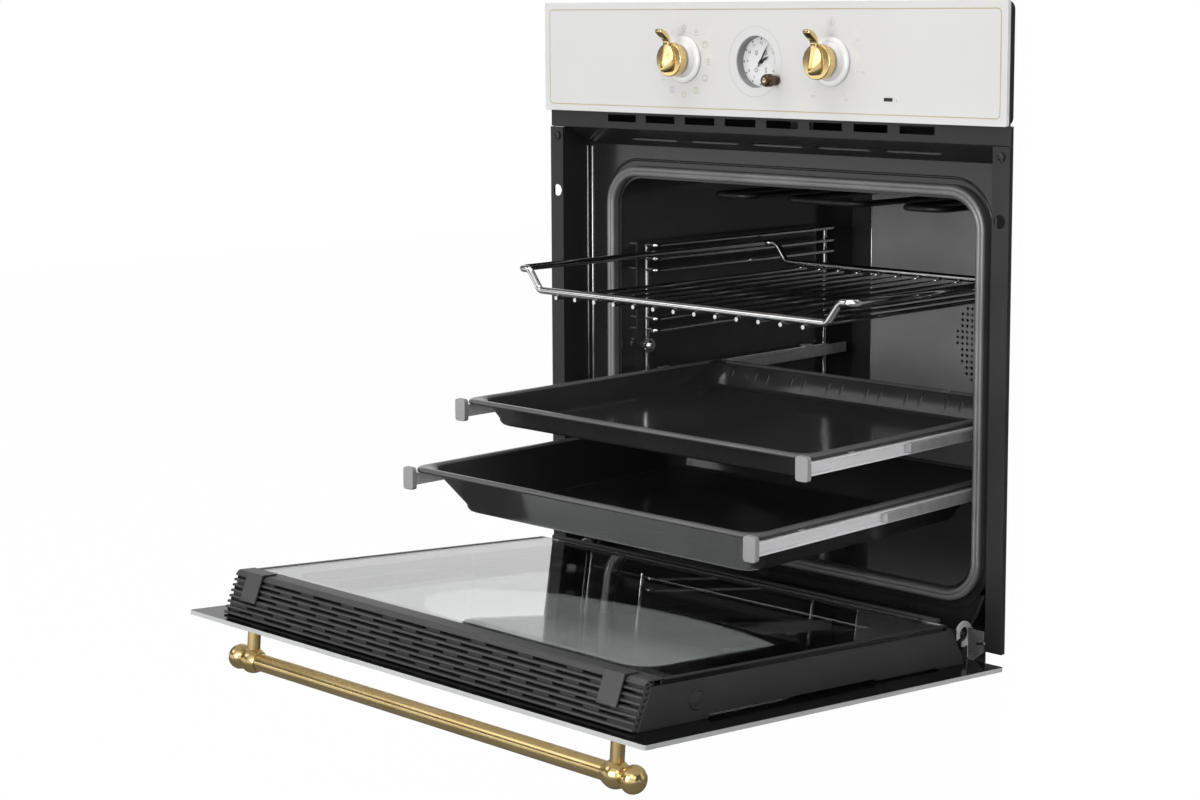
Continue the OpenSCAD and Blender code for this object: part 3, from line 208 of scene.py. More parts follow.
finishes = {
    "panelDark": dict(dark=(0.012, 0.0115, 0.0125), light=(0.017, 0.0165, 0.0175), rough=(0.36, 0.46), depth=0.02,
                      edge=0.5),
    "frontEnamel": dict(dark=(0.014, 0.014, 0.015), light=(0.021, 0.021, 0.022), rough=(0.16, 0.24), grain=260,
                        depth=0.03, edge=0.8),
    "ovenEnamel": dict(dark=(0.040, 0.039, 0.041), light=(0.058, 0.057, 0.059), rough=(0.09, 0.14), cloud=9, grain=240,
                       depth=0.05),
    "trayEnamel": dict(dark=(0.026, 0.0255, 0.0265), light=(0.036, 0.0355, 0.0365), rough=(0.11, 0.18), cloud=8,
                       grain=200, depth=0.05, edge=0.8),
    "gasket": dict(dark=grey(0.17), light=grey(0.25), rough=(0.30, 0.40), metal=0.4, grain=500, depth=0.03, edge=0.8),
    "fanPlate": dict(dark=(0.40, 0.395, 0.395), light=(0.48, 0.475, 0.475), rough=(0.36, 0.46), metal=0.15, grain=300,
                     depth=0.03, edge=0.6),
    # black plastic; also the darker black of the vent bridges, which is painted shade
    "blackPlasticAndShade": dict(dark=(0.032, 0.0315, 0.0325), light=(0.041, 0.0405, 0.0415), rough=(0.42, 0.55), grain=1600,
                         depth=0.02, edge=0.4),
    "chrome": dict(dark=(0.62, 0.62, 0.63), light=(0.78, 0.78, 0.79), rough=(0.06, 0.14), metal=1.0, cloud=40,
                   depth=0.01),
    "railSteel": dict(dark=(0.86, 0.86, 0.87), light=(0.95, 0.95, 0.96), rough=(0.24, 0.34), metal=0.15,
                      stretch=(40, 1, 40), grain=60, depth=0.01, edge=0.4),
    "zinc": dict(dark=(0.48, 0.485, 0.49), light=(0.62, 0.625, 0.63), rough=(0.25, 0.40), metal=0.5, cloud=90,
                 depth=0.02, edge=0.4),
    "galvanised": dict(dark=(0.40, 0.41, 0.42), light=(0.56, 0.57, 0.58), rough=(0.32, 0.46), metal=0.9, cloud=120,
                       depth=0.02, edge=0.5),
    "gold": dict(dark=(0.68, 0.50, 0.22), light=(0.82, 0.63, 0.31), rough=(0.18, 0.24), metal=1.0, cloud=30, grain=300,
                 depth=0.0002),
    "goldTurned": dict(dark=(0.67, 0.49, 0.21), light=(0.81, 0.62, 0.31), rough=(0.22, 0.28), metal=1.0, cloud=20,
                       stretch=(60, 1, 60), grain=90, depth=0.004),
    "bronze": dict(dark=(0.085, 0.052, 0.030), light=(0.15, 0.097, 0.058), rough=(0.22, 0.34), metal=0.8, cloud=200,
                   depth=0.02, edge=0.3),
    "whiteGlass": dict(dark=(0.72, 0.715, 0.71), light=(0.75, 0.745, 0.74), rough=(0.10, 0.14), cloud=3, depth=0.002,
                       coat=1.0, coatRough=0.03, edge=0.4),
    "whiteGloss": dict(dark=grey(0.80), light=grey(0.84), rough=(0.18, 0.24), depth=0.004, coat=0.5, coatRough=0.05,
                       edge=0.5),
    "dialWhite": dict(dark=(0.76, 0.76, 0.755), light=(0.80, 0.80, 0.795), rough=(0.45, 0.55), depth=0.01),
    "greyPlastic": dict(dark=(0.22, 0.22, 0.225), light=(0.28, 0.28, 0.285), rough=(0.35, 0.45), depth=0.02),
    # black print and small black parts; also black pieces that are painted shade in a groove, a slot, beside the clip
    # lips and inside the vent
    "blackInkAndShade": dict(dark=grey(0.010), light=grey(0.016), rough=(0.35, 0.45), depth=0.004),
    "inkBeige": dict(dark=(0.44, 0.43, 0.38), light=(0.50, 0.49, 0.43), rough=(0.35, 0.45), depth=0.004),
    "inkGreen": dict(dark=(0.46, 0.50, 0.32), light=(0.52, 0.56, 0.38), rough=(0.35, 0.45), depth=0.004),
    "inkDial": dict(dark=(0.02, 0.02, 0.023), light=(0.04, 0.04, 0.043), rough=(0.4, 0.5), depth=0.004),
    "inkDialSoft": dict(dark=(0.06, 0.065, 0.07), light=(0.09, 0.095, 0.10), rough=(0.4, 0.5), depth=0.004),
    "inkSilver": dict(dark=grey(0.42), light=grey(0.48), rough=(0.3, 0.4), depth=0.004),
    "inkGrey": dict(dark=grey(0.26), light=grey(0.32), rough=(0.35, 0.45), depth=0.004),
    "goldLine": dict(dark=(0.50, 0.43, 0.23), light=(0.58, 0.51, 0.29), rough=(0.28, 0.34), metal=0.3, depth=0.004),
    "printBlack": dict(dark=grey(0.003), light=grey(0.005), rough=(0.10, 0.14), cloud=4, depth=0.001, specular=0.12),
    "darkSteel": dict(dark=(0.030, 0.030, 0.031), light=(0.060, 0.060, 0.062), rough=(0.34, 0.46), metal=0.6, cloud=90,
                      depth=0.02, edge=0.4),
    "knobFront": dict(dark=(0.62, 0.50, 0.34), light=(0.74, 0.62, 0.45), rough=(0.16, 0.24), metal=0.8, cloud=200,
                      depth=0.005),
    "glassEdge": dict(dark=(0.42, 0.43, 0.43), light=(0.52, 0.53, 0.53), rough=(0.12, 0.2), depth=0.01),
    "heaterSteel": dict(dark=(0.030, 0.028, 0.027), light=(0.050, 0.047, 0.045), rough=(0.38, 0.5), metal=0.7, cloud=60,
                        depth=0.05),
    "wool": dict(dark=(0.50, 0.40, 0.16), light=(0.72, 0.62, 0.32), rough=(0.8, 0.95), cloud=60, grain=260, depth=0.9,
                 stretch=(1, 1, 3)),
    # black plastic of the fascia housing; the same black on the hinge skirts is painted shade
    "housingBlackAndShade": dict(dark=grey(0.018), light=grey(0.026), rough=(0.55, 0.65), grain=1200, depth=0.02, specular=0.25,
                         edge=1.2),
    "capGrey": dict(dark=(0.34, 0.34, 0.35), light=(0.40, 0.40, 0.41), rough=(0.42, 0.52), metal=0.2, depth=0.01,
                    edge=0.5),
    # bright metal: painted highlight lines on dark folds, lips and edges
    "edgeShine": dict(dark=(0.34, 0.34, 0.35), light=(0.44, 0.44, 0.45), rough=(0.12, 0.18), metal=0.9, cloud=30,
                      depth=0.004),
    # near-white, barely metallic steel: the sheen of the hinge catches and tab lips painted into the colour
    "paintedSteelSheen": dict(dark=grey(0.84), light=grey(0.95), rough=(0.26, 0.36), metal=0.1, cloud=160, depth=0.03,
                         edge=0.4),
    "castGrey": dict(dark=grey(0.13), light=grey(0.26), rough=(0.4, 0.55), metal=0.3, cloud=420, depth=0.12, edge=0.5),
    # lighter enamel: painted highlight on the tray rim tops and on the recess fold rods
    "paintedRimSheen": dict(dark=(0.12, 0.119, 0.12), light=(0.16, 0.159, 0.16), rough=(0.22, 0.30), metal=0.2, depth=0.01),
    "clipBlack": dict(dark=(0.052, 0.052, 0.053), light=(0.066, 0.066, 0.067), rough=(0.40, 0.52), grain=1600,
                      depth=0.02, edge=0.6),
    "ceramic": dict(dark=(0.62, 0.60, 0.54), light=(0.70, 0.68, 0.62), rough=(0.42, 0.55), depth=0.04, edge=0.4),
}
made = {name: finish(name, **values) for name, values in finishes.items()}


def clearGlass(name, colour, rough):
    made, nodes, links, shader = fresh(name)
    place = nodes.new("ShaderNodeTexCoord")
    waves = numbers(nodes, "ShaderNodeTexNoise", Scale=3.0, Detail=2.0)
    links.new(place.outputs["Object"], waves.inputs["Vector"])
    spread = nodes.new("ShaderNodeMapRange")
    spread.inputs["To Min"].default_value = 0.0
    spread.inputs["To Max"].default_value = rough
    links.new(waves.outputs["Fac"], spread.inputs["Value"])
    links.new(spread.outputs["Result"], shader.inputs["Roughness"])
    shader.inputs["Base Color"].default_value = (*colour, 1)
    shader.inputs["Transmission Weight"].default_value = 1.0
    shader.inputs["IOR"].default_value = 1.5
    return made


made["clearPane"] = clearGlass("clearPane", (0.94, 0.96, 0.955), 0.004)
made["lampGlass"] = clearGlass("lampGlass", (0.96, 0.95, 0.90), 0.05)
print("finishes made:", len(made))

wear = {
    "panelDark": ["side_panel_left", "side_panel_right", "vent_strip", "panel_screws"],
    "frontEnamel": ["front_frame"],
    "ovenEnamel": ["cavity"],
    "gasket": ["door_gasket"],
    "galvanised": ["rear_panel", "top_cover", "base_plate", "fan_motor", "blower_housing", "blower_wheel",
                   "convection_fan"],
    "wool": ["insulation"],
    "heaterSteel": ["ring_heater", "grill_heater", "bottom_heater"],
    "ceramic": ["terminal_block", "lamp_holder", "selector_switch", "thermostat"],
    "lampGlass": ["lamp_glass"],
    "chrome": ["side_racks", "wire_shelf"],
    # the hinge catches get the near-white steel: painted sheen
    "paintedSteelSheen": ["hinge_catch_left", "hinge_catch_right"],
    "darkSteel": ["hinge_bodies", "hinge_arms"],
    "zinc": ["runner_fixed_rails", "upper_middle_rails", "lower_middle_rails"],
    "railSteel": ["upper_moving_rails", "lower_moving_rails"],
    "capGrey": ["rail_caps_upper", "rail_caps_lower"],
    "housingBlackAndShade": ["fascia_housing"],
    "whiteGlass": ["fascia_glass"],
    "blackPlasticAndShade": ["door_side_frames", "door_bottom_profile", "door_plugs"],
    "clipBlack": ["door_clips"],
    "whiteGloss": ["knob_bezels"],
    "dialWhite": ["clock_dial"],
    "gold": ["handle_bar", "handle_brackets"],
    "greyPlastic": ["clock_case"],
    "blackInkAndShade": ["hour_hand", "minute_hand", "indicator_lens"],
    "bronze": ["clock_set_knob"],
    "clearPane": ["door_middle_glass"],
}
for finishName, nodeNames in wear.items():
    for nodeName in nodeNames:
        for slot in cad[nodeName].material_slots:
            slot.material = made[finishName]


def wears(thing, *names):
    thing.data.materials.clear()
    for name in names:
        thing.data.materials.append(made[name])


# the door stands open: its pieces are drawn closed in X, depth and height, then swung down with it
door = {"open": 85.15, "hinge": 4.4 * mm, "faceY": -8 * mm, "low": 5 * mm}
doorPlace = (Matrix.Translation((0, door["hinge"], 0)) @ Matrix.Rotation(radians(door["open"]), 4, "X")
             @ Matrix.Translation((0, door["faceY"] - door["hinge"], door["low"])))


def swungOpen(thing):
    thing.matrix_world = doorPlace
    return settle(thing)


def atDepth(thing, y):
    thing.location = (0, y, 0)
    return settle(thing)


# door glass: outer pane with its oval window, inner pane with a printed border
outerPane = {"halfW": 297.5 * mm, "high": 472 * mm, "thick": 4 * mm, "corner": 3 * mm,
             "window": (0, 222 * mm, 219 * mm, 114 * mm), "post": 238 * mm, "postHigh": 440.7 * mm, "postR": 2.75 * mm}
innerPane = {"halfW": 267.5 * mm, "low": 50 * mm, "high": 426 * mm, "under": 34.7 * mm, "thick": 4 * mm,
             "windowHalf": 230 * mm, "windowLow": 76 * mm, "windowHigh": 409 * mm, "corner": 25 * mm}


def makeOuterPane(s):
    rim = roundedRing(s["halfW"], 0, s["high"], s["corner"])
    oval = ellipse(*s["window"])
    holes = [ellipse(x, s["postHigh"], s["postR"], s["postR"], 24) for x in (-s["post"], s["post"])]
    plate = flatShape("doorOuterGlass", [rim, oval] + holes, s["thick"])
    atDepth(plate, -s["thick"] / 2)
    wears(plate, "whiteGlass", "printBlack", "glassEdge")
    for face in plate.data.polygons:
        face.material_index = 0 if face.normal.y < -0.5 else 1 if face.normal.y > 0.5 else 2
    swungOpen(plate)
    view = flatShape("doorOuterWindow", [oval], s["thick"] - 0.02 * mm)
    atDepth(view, -s["thick"] / 2)
    wears(view, "clearPane")
    swungOpen(view)
    return plate, view


def makeInnerPane(s):
    pane = flatShape("doorInnerGlass", [roundedRing(s["halfW"], s["low"], s["high"], 2 * mm)], s["thick"])
    atDepth(pane, s["under"] + s["thick"] / 2)
    wears(pane, "clearPane")
    swungOpen(pane)
    border = flatShape("doorInnerBorder", [roundedRing(s["halfW"] - 0.5 * mm, s["low"] + 0.5 * mm, s["high"] - 0.5 * mm,
                                                       2 * mm),
                                           roundedRing(s["windowHalf"], s["windowLow"], s["windowHigh"], s["corner"])],
                                           0.1 * mm)
    atDepth(border, s["under"] - 0.08 * mm)
    wears(border, "printBlack")
    swungOpen(border)
    return pane, border


doorPlate, doorView = makeOuterPane(outerPane)
innerGlass, innerBorder = makeInnerPane(innerPane)
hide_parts("door_outer_glass")
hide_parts("door_outer_glass")
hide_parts("door_inner_glass")
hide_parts("door_inner_glass")
for piece in (doorPlate, doorView, innerGlass, innerBorder):
    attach(piece, "door")
print("door glass done")


# control panel: gold line, printed signs, and the clock's ring and dial
panel = {"front": -12 * mm, "halfW": 290.7 * mm, "low": 489.4 * mm, "high": 588.2 * mm, "corner": 5 * mm,
         "line": 1.0 * mm, "ink": 0.05 * mm, "knobX": 95.5, "signZ": 536.4, "signR": 33.0, "stroke": 0.6,
         "signScale": 1.35}
dial = {"x": -0.7, "z": 537.0, "ringR": 34.35, "face": -3.0 * mm, "dotR": 22.2, "figureR": 18.0, "figure": 4.0,
        "iconX": 6.2, "iconZ": 8.2}


def printed(name, outlines, ink, y):
    sign = flatShape(name, inMetres(outlines), panel["ink"])
    wears(sign, ink)
    return atDepth(sign, y - panel["ink"] / 2)


def strip(x, z, w, h):
    return [(x - w / 2, z - h / 2), (x + w / 2, z - h / 2), (x + w / 2, z + h / 2), (x - w / 2, z + h / 2)]


def loop(x, z, r, t=0.5, squeeze=1.0):
    return [ellipse(x, z, r, r * squeeze, 32), ellipse(x, z, r - t, r * squeeze - t, 32)]


def case(x, z, w, h, t=0.5):  # rounded outline of a small oven
    def ring(cut):
        return [(x + px, z + pz) for px, pz in roundedRing(w / 2 - cut, -h / 2 + cut, h / 2 - cut, 0.7, 3)]
    return [ring(0), ring(t)]


def figure(text, size, x, y, z):
    bpy.ops.object.select_all(action="DESELECT")
    bpy.ops.object.text_add(rotation=(pi / 2, 0, 0))
    sign = bpy.context.active_object
    sign.data.body = text
    sign.data.size = size
    sign.data.align_x = "CENTER"
    sign.data.align_y = "CENTER"
    sign.data.extrude = panel["ink"] / 2
    sign.data.resolution_u = 3
    bpy.ops.object.convert(target="MESH")
    sign = bpy.context.active_object
    sign.location = (x, y - panel["ink"] / 2, z)
    return settle(sign)


def makeSigns(s):
    t, k = s["stroke"], s["signScale"]
    beige, green, grey = [], [], []

    def spot(angle, x0=-s["knobX"]):
        return x0 + s["signR"] * cos(radians(angle)), s["signZ"] + s["signR"] * sin(radians(angle))

    def placed(angle, outlines):
        x0, z0 = spot(angle)
        return [[(x0 + x * k, z0 + z * k) for x, z in points] for points in outlines]
    beige += placed(90, loop(0, 0.5, 1.8, t) + [strip(0, -2.3, 2.4, t)])
    beige += placed(60, loop(0, 0.8, 1.5, t) + [strip(0, -2.0, 4.8, t)])
    beige += placed(30, case(0, 0, 4.8, 5.0, t) + [strip(0, 1.3, 3.0, t)])
    beige += placed(0, loop(0, 0.6, 1.7, t) + [strip(0, 0.6, 0.8, 0.8), strip(0.4, -2.3, 4.4, t)])
    beige += placed(-30, case(0, 0, 4.8, 5.0, t) + [strip(0, -1.3, 3.0, t)])
    green += placed(-60, case(0, 0, 4.8, 4.8, t) + [strip(0, 1.1, 2.8, t), strip(0, -0.4, t, 1.8)])
    green += placed(-90, loop(0, 0, 2.3, t) + [strip(0, 0, 0.9, 0.9)])
    beige += placed(-120, case(0, 0, 4.4, 4.6, t) + [strip(0, 0, t, 2.6)])
    beige += placed(-150, [strip(0, -1.8, 4.2, t), strip(0, 0.4, 2.2, t)])
    beige += placed(120, [strip(0, 0, t, 4.2)])
    x, z = s["knobX"], s["signZ"] + 38.4
    beige += loop(x, z, 3.6, t, 0.85) + [strip(x, z + 4.8, 3.4, t)]
    grey += [strip(x, z, 1.2, 3.2)]
    for angle in (36, -12, -63, -125):
        x, z = spot(angle, s["knobX"])
        grey.append(ellipse(x, z, 0.6, 0.6, 12))
    grey.append(strip(173.8, 503.2, 0.9, 3.0))
    return [printed("panelSigns", beige, "inkBeige", s["front"]), printed("panelSignsGreen", green, "inkGreen",
                                                                          s["front"]),
            printed("panelMarks", grey, "inkBeige", s["front"])]


def makeDegrees(s):
    signs = []
    for text, angle in (("50", 36), ("100", -12), ("150", -63), ("200", -125)):
        x = s["knobX"] + (s["signR"] + 5.6) * cos(radians(angle))
        z = s["signZ"] + (s["signR"] + 5.0) * sin(radians(angle))
        signs.append(figure(text, 3.4 * mm, x * mm, s["front"], z * mm))
    signs = joined(signs, "panelDegrees")
    wears(signs, "inkBeige")
    return signs


def makeDial(s):
    x0, z0 = s["x"], s["z"]
    marks = []
    for k in range(12):
        a = radians(90 - 30 * k)
        marks.append(ellipse(x0 + s["dotR"] * cos(a), z0 + s["dotR"] * sin(a), 0.95, 0.95, 12))
    dots = printed("dialDots", marks, "inkDial", s["face"])
    figures = []
    for k in range(1, 13):
        a = radians(90 - 30 * k)
        figures.append(figure(str(k), s["figure"] * mm, (x0 + s["figureR"] * cos(a)) * mm, s["face"],
                              (z0 + s["figureR"] * sin(a)) * mm))
    figures = joined(figures, "dialFigures")
    wears(figures, "inkDial")
    minutes = []
    for k in range(60):
        if k % 5:
            a = radians(6 * k)
            minutes.append(ellipse(x0 + s["dotR"] * cos(a), z0 + s["dotR"] * sin(a), 0.22, 0.22, 6))
    ix, iz = s["iconX"], s["iconZ"]
    icons = [strip(x0 - ix, z0 + iz + 2.1, 3.6, 0.5), strip(x0 - ix, z0 + iz - 1.7, 2.6, 0.5)]
    icons += loop(x0 - ix, z0 + iz, 1.8, 0.5, 0.8)
    icons += loop(x0 + ix, z0 + iz, 1.9, 0.5) + [strip(x0 + ix, z0 + iz + 2.6, 2.4, 0.5),
                                                 strip(x0 + ix, z0 + iz, 0.5, 1.6)]
    icons += loop(x0 - ix, z0 - iz, 2.0, 0.5) + [ellipse(x0 - ix, z0 - iz, 0.5, 0.5, 10)]
    icons += [ellipse(x0 - ix + 2.7 * cos(k * pi / 4), z0 - iz + 2.7 * sin(k * pi / 4), 0.3, 0.3, 8) for k in range(8)]
    x, z = x0 + ix, z0 - iz
    icons += [[(x - 1.7, z + 2.4), (x - 0.2, z), (x - 1.7, z - 2.4), (x + 1.7, z - 2.4), (x + 0.2, z),
               (x + 1.7, z + 2.4)]]
    icons += [[(x - 1.0, z - 2.0), (x, z - 0.7), (x + 1.0, z - 2.0)], [(x - 1.0, z + 2.0), (x + 1.0, z + 2.0),
                                                                       (x, z + 0.7)]]
    fine = printed("dialMinutes", minutes, "inkGrey", s["face"])
    small = printed("dialIcons", icons, "inkDialSoft", s["face"])
    ring = printed("panelClockRing", loop(x0, z0, s["ringR"], 0.42), "inkSilver", panel["front"])
    return [dots, figures, fine, small, ring]


def makeGoldLine(s):
    t = s["line"]
    line = flatShape("panelGoldLine", [roundedRing(s["halfW"], s["low"], s["high"], s["corner"]),
                                       roundedRing(s["halfW"] - t, s["low"] + t, s["high"] - t, s["corner"] - t)],
                                       s["ink"])
    wears(line, "goldLine")
    return atDepth(line, s["front"] - s["ink"] / 2)


prints = makeSigns(panel) + [makeDegrees(panel)] + makeDial(dial)
goldLine = makeGoldLine(panel)
for piece in prints + [goldLine]:
    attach(piece, "chassis")
print("panel prints done")


# lever knobs: a turned body, and a blade that stands across it and curls forward at its top
knob = {"x": 95.5 * mm, "z": 538.2 * mm, "r": 16.85 * mm, "back": -26.3 * mm, "face": -34.7 * mm, "shaftR": 3 * mm,
        "shaftBack": 26 * mm, "bodyRound": 0.9, "shaftRound": 0.4, "flank": 0.56}
# height from the axis, half width of the front edge and of the foot, foot depth and edge depth before the face
bladeCuts = [(-12.9, 1.2, 2.6, 1.0, 6.4), (-12.0, 1.8, 5.0, 0.2, 8.3), (-10.0, 2.2, 7.4, -0.6, 9.5),
             (-6.0, 2.4, 9.6, -0.6, 9.4), (0.0, 2.5, 10.6, -0.6, 7.8), (5.8, 2.6, 10.0, -0.6, 6.3),
             (10.5, 2.9, 7.6, -0.6, 5.2), (14.0, 3.3, 5.6, -0.3, 4.5), (16.8, 3.9, 4.6, 0.6, 4.1)]
# height, depth before the face, turn of the cut, half width and half thickness
curlCuts = [(19.2, 2.9, 8, 4.3, 1.7), (21.4, 4.1, 28, 4.6, 2.3), (23.6, 6.0, 48, 4.8, 3.0), (26.0, 9.2, 68, 4.9, 3.2),
            (27.7, 12.6, 82, 4.85, 2.5), (28.6, 15.5, 90, 4.8, 1.75)]
sharpLines = {2: 0.7, 3: 0.85, 5: 0.85, 6: 0.7}


def ringThrough(name, rings):  # extrudes a closed ring from cut to cut
    bpy.ops.object.select_all(action="DESELECT")
    bpy.ops.mesh.primitive_circle_add(vertices=len(rings[0]), radius=mm, fill_type="NGON")
    thing = added(name)
    for vertex, spot in zip(thing.data.vertices, rings[0]):
        vertex.co = spot
    for before, ring in zip(rings, rings[1:]):
        bpy.ops.object.mode_set(mode="EDIT")
        bpy.ops.mesh.extrude_region()
        objectMode()
        for vertex in thing.data.vertices:
            if vertex.select:
                gaps = [(vertex.co - Vector(spot)).length for spot in before]
                vertex.co = ring[gaps.index(min(gaps))]
    bpy.ops.object.mode_set(mode="EDIT")
    bpy.ops.mesh.select_all(action="SELECT")
    bpy.ops.mesh.normals_make_consistent(inside=False)
    objectMode()
    return thing


def creased(thing, rings, lines):  # keeps the long edges of the blade crisp
    places = {}
    for ring in rings:
        for k, spot in enumerate(ring):
            places[tuple(round(c, 6) for c in spot)] = k
    crease = thing.data.attributes.new("crease_edge", "FLOAT", "EDGE")
    for edge in thing.data.edges:
        a, b = (places.get(tuple(round(c, 6) for c in thing.data.vertices[v].co), -1) for v in edge.vertices)
        if a == b and a in lines:
            crease.data[edge.index].value = lines[a]


def makeKnob(name, side):
    s = knob
    x0, z0, face = side * s["x"], s["z"], s["face"]
    bpy.ops.object.select_all(action="DESELECT")
    bpy.ops.mesh.primitive_cylinder_add(vertices=96, radius=s["r"], depth=s["back"] - face,
                                        location=(x0, (s["back"] + face) / 2, z0), rotation=(pi / 2, 0, 0))
    body = added("turned")
    settle(body)
    rounded(body, s["bodyRound"], 4)
    bpy.ops.object.select_all(action="DESELECT")
    bpy.ops.mesh.primitive_cylinder_add(vertices=24, radius=s["shaftR"], depth=s["shaftBack"] - s["back"],
                                        location=(x0, (s["shaftBack"] + s["back"]) / 2, z0), rotation=(pi / 2, 0, 0))
    shaft = added("shaft")
    settle(shaft)
    rounded(shaft, s["shaftRound"])
    wears(body, "goldTurned")
    wears(shaft, "zinc")
    rings = []
    for z, w, foot, low, edge in bladeCuts:
        flank = w + (foot - w) * s["flank"]
        cut = [(-foot, low), (-flank, (low + edge) / 2), (-w, edge - 0.5), (-w * 0.85, edge), (0, edge + 0.15),
               (w * 0.85, edge), (w, edge - 0.5), (flank, (low + edge) / 2), (foot, low), (0, low - 0.2)]
        rings.append([(x0 + x * mm, face - h * mm, z0 + z * mm) for x, h in cut])
    for z, h, turn, w, t in curlCuts:
        a = radians(turn)
        cut = [(-w * 0.92, -t), (-w, 0), (-w * 0.97, t * 0.75), (-w * 0.8, t), (0, t * 1.12), (w * 0.8, t),
               (w * 0.97, t * 0.75), (w, 0), (w * 0.92, -t), (0, -t * 1.1)]
        rings.append([(x0 + x * mm, face - (h + d * cos(a)) * mm, z0 + (z - d * sin(a)) * mm) for x, d in cut])
    blade = ringThrough("blade", rings)
    creased(blade, rings, sharpLines)
    modify(blade, "SUBSURF", levels=3, render_levels=3)
    wears(blade, "gold")
    whole = joined([shaft, blade, body], name)
    smooth(whole, 50)
    return whole


for name, side, node, body in (("leftLever", -1, "function_knob", "left_knob"),
                               ("rightLever", 1, "temperature_knob", "right_knob")):
    lever = makeKnob(name, side)
    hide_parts(node)
    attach(lever, body)
print("lever knobs done")


# set knob of the clock: pale front, and a black ring over the turned bronze as painted shade in its groove
setKnob = {"x": 27.6 * mm, "z": 519.6 * mm, "front": -31.6 * mm, "frontR": 3.3 * mm, "frontFlat": 0.26,
           "frontBack": 0.9 * mm, "groove": -17.8 * mm, "grooveR": 4.15 * mm, "grooveThin": 0.55 * mm}


def makeSetKnobParts(s):
    bpy.ops.object.select_all(action="DESELECT")
    bpy.ops.mesh.primitive_uv_sphere_add(segments=32, ring_count=16, radius=s["frontR"], rotation=(pi / 2, 0, 0),
                                         location=(s["x"], s["front"] + s["frontBack"], s["z"]))
    front = added("setKnobFront")
    front.scale = (1, 1, s["frontFlat"])
    settle(front)
    smooth(front, 80)
    wears(front, "knobFront")
    # black ring in the knob's groove: painted shade
    bpy.ops.object.select_all(action="DESELECT")
    bpy.ops.mesh.primitive_torus_add(major_segments=40, minor_segments=10, major_radius=s["grooveR"],
                                     minor_radius=s["grooveThin"], location=(s["x"], s["groove"], s["z"]),
                                     rotation=(pi / 2, 0, 0))
    groove = added("setKnobGroove")
    settle(groove)
    smooth(groove, 80)
    wears(groove, "blackInkAndShade")
    return front, groove


for piece in makeSetKnobParts(setKnob):
    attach(piece, "set_knob")
print("set knob done")


# fan cover: plate with its field of holes, and a flange towards the rear wall
fanCover = {"halfW": 196.5, "low": 60.0, "high": 384.0, "corner": 14.0, "front": 418.0, "plate": 1.2, "deep": 17.7,
            "midZ": 217.0, "holeR": 1.9, "pitch": 6.85, "fieldR": 69.0, "screw": (-141, 365.6, 2.0)}


def makeFanCover(s):
    outer = roundedRing(s["halfW"], s["low"], s["high"], s["corner"])
    holes = []
    n = int(s["fieldR"] / s["pitch"]) + 1
    for i in range(-n, n + 1):
        for k in range(-n, n + 1):
            x, z = i * s["pitch"], k * s["pitch"]
            if (x * x + z * z) ** 0.5 <= s["fieldR"]:
                holes.append(ellipse(x, s["midZ"] + z, s["holeR"], s["holeR"], 10))
    holes.append(ellipse(*s["screw"][:2], s["screw"][2], s["screw"][2], 12))
    plate = flatShape("fanCoverPlate", inMetres([outer] + holes), s["plate"] * mm)
    atDepth(plate, (s["front"] + s["plate"] / 2) * mm)
    inner = roundedRing(s["halfW"] - s["plate"], s["low"] + s["plate"], s["high"] - s["plate"],
                        s["corner"] - s["plate"])
    flange = flatShape("fanCoverFlange", inMetres([outer, inner]), (s["deep"] - s["plate"]) * mm)
    atDepth(flange, (s["front"] + (s["deep"] + s["plate"]) / 2) * mm)
    whole = joined([flange, plate], "fanCover")
    wears(whole, "fanPlate")
    return whole


fanPlate = makeFanCover(fanCover)
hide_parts("fan_cover")
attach(fanPlate, "chassis")
print("fan cover done")


# trays: rolled rim, round corners and steep walls; each row of the outline is inset, height, corner radius
trayMade = {"halfW": 224.0, "halfL": 187.0, "rim": 10.0, "ribPitch": 26, "ribShift": 4, "ribIn": 16.4, "ribLow": 12.6,
            "ribTurn": -32, "ribSize": (1.5, 0.8, 9)}
upperTray = {"name": "upperTray", "middle": -9.7, "high": 203.0, "deep": 27.0, "inset": 21.5, "ribs": 15,
             "node": "upper_tray", "body": "upper_carriage"}
lowerTray = {"name": "lowerTray", "middle": -77.2, "high": 144.0, "deep": 45.0, "inset": 34.0, "ribs": 0,
             "node": "lower_tray", "body": "lower_carriage"}


def trayOutline(s):
    low, base, rim = -s["deep"], s["inset"], trayMade["rim"]
    return [(base + 9, low, 14), (base + 4, low + 0.3, 16), (base + 1, low + 1.6, 18), (base - 1, low + 4.2, 19),
            (base - 2, low + 8, 20), (rim + 2.2, -7, 23), (rim + 0.4, -4.6, 24), (rim - 1.6, -3.0, 24),
            (rim - 5, -2.0, 20), (3.4, -2.2, 16), (2.0, -4.6, 14.5), (0.8, -4.8, 14), (0.1, -4.2, 14), (0, -2.8, 14),
            (0.4, -1.4, 14), (1.5, -0.4, 14.5), (3.2, 0, 16), (5.4, -0.1, 18), (7.4, -0.8, 21),
            (rim - 0.9, -2.2, 24), (rim + 0.6, -4.2, 24), (rim + 2.6, -7, 23), (base - 0.6, low + 8.6, 20),
            (base + 0.6, low + 4.8, 19), (base + 2.4, low + 2.4, 18), (base + 5.4, low + 1.2, 16),
            (base + 9, low + 1, 14)]


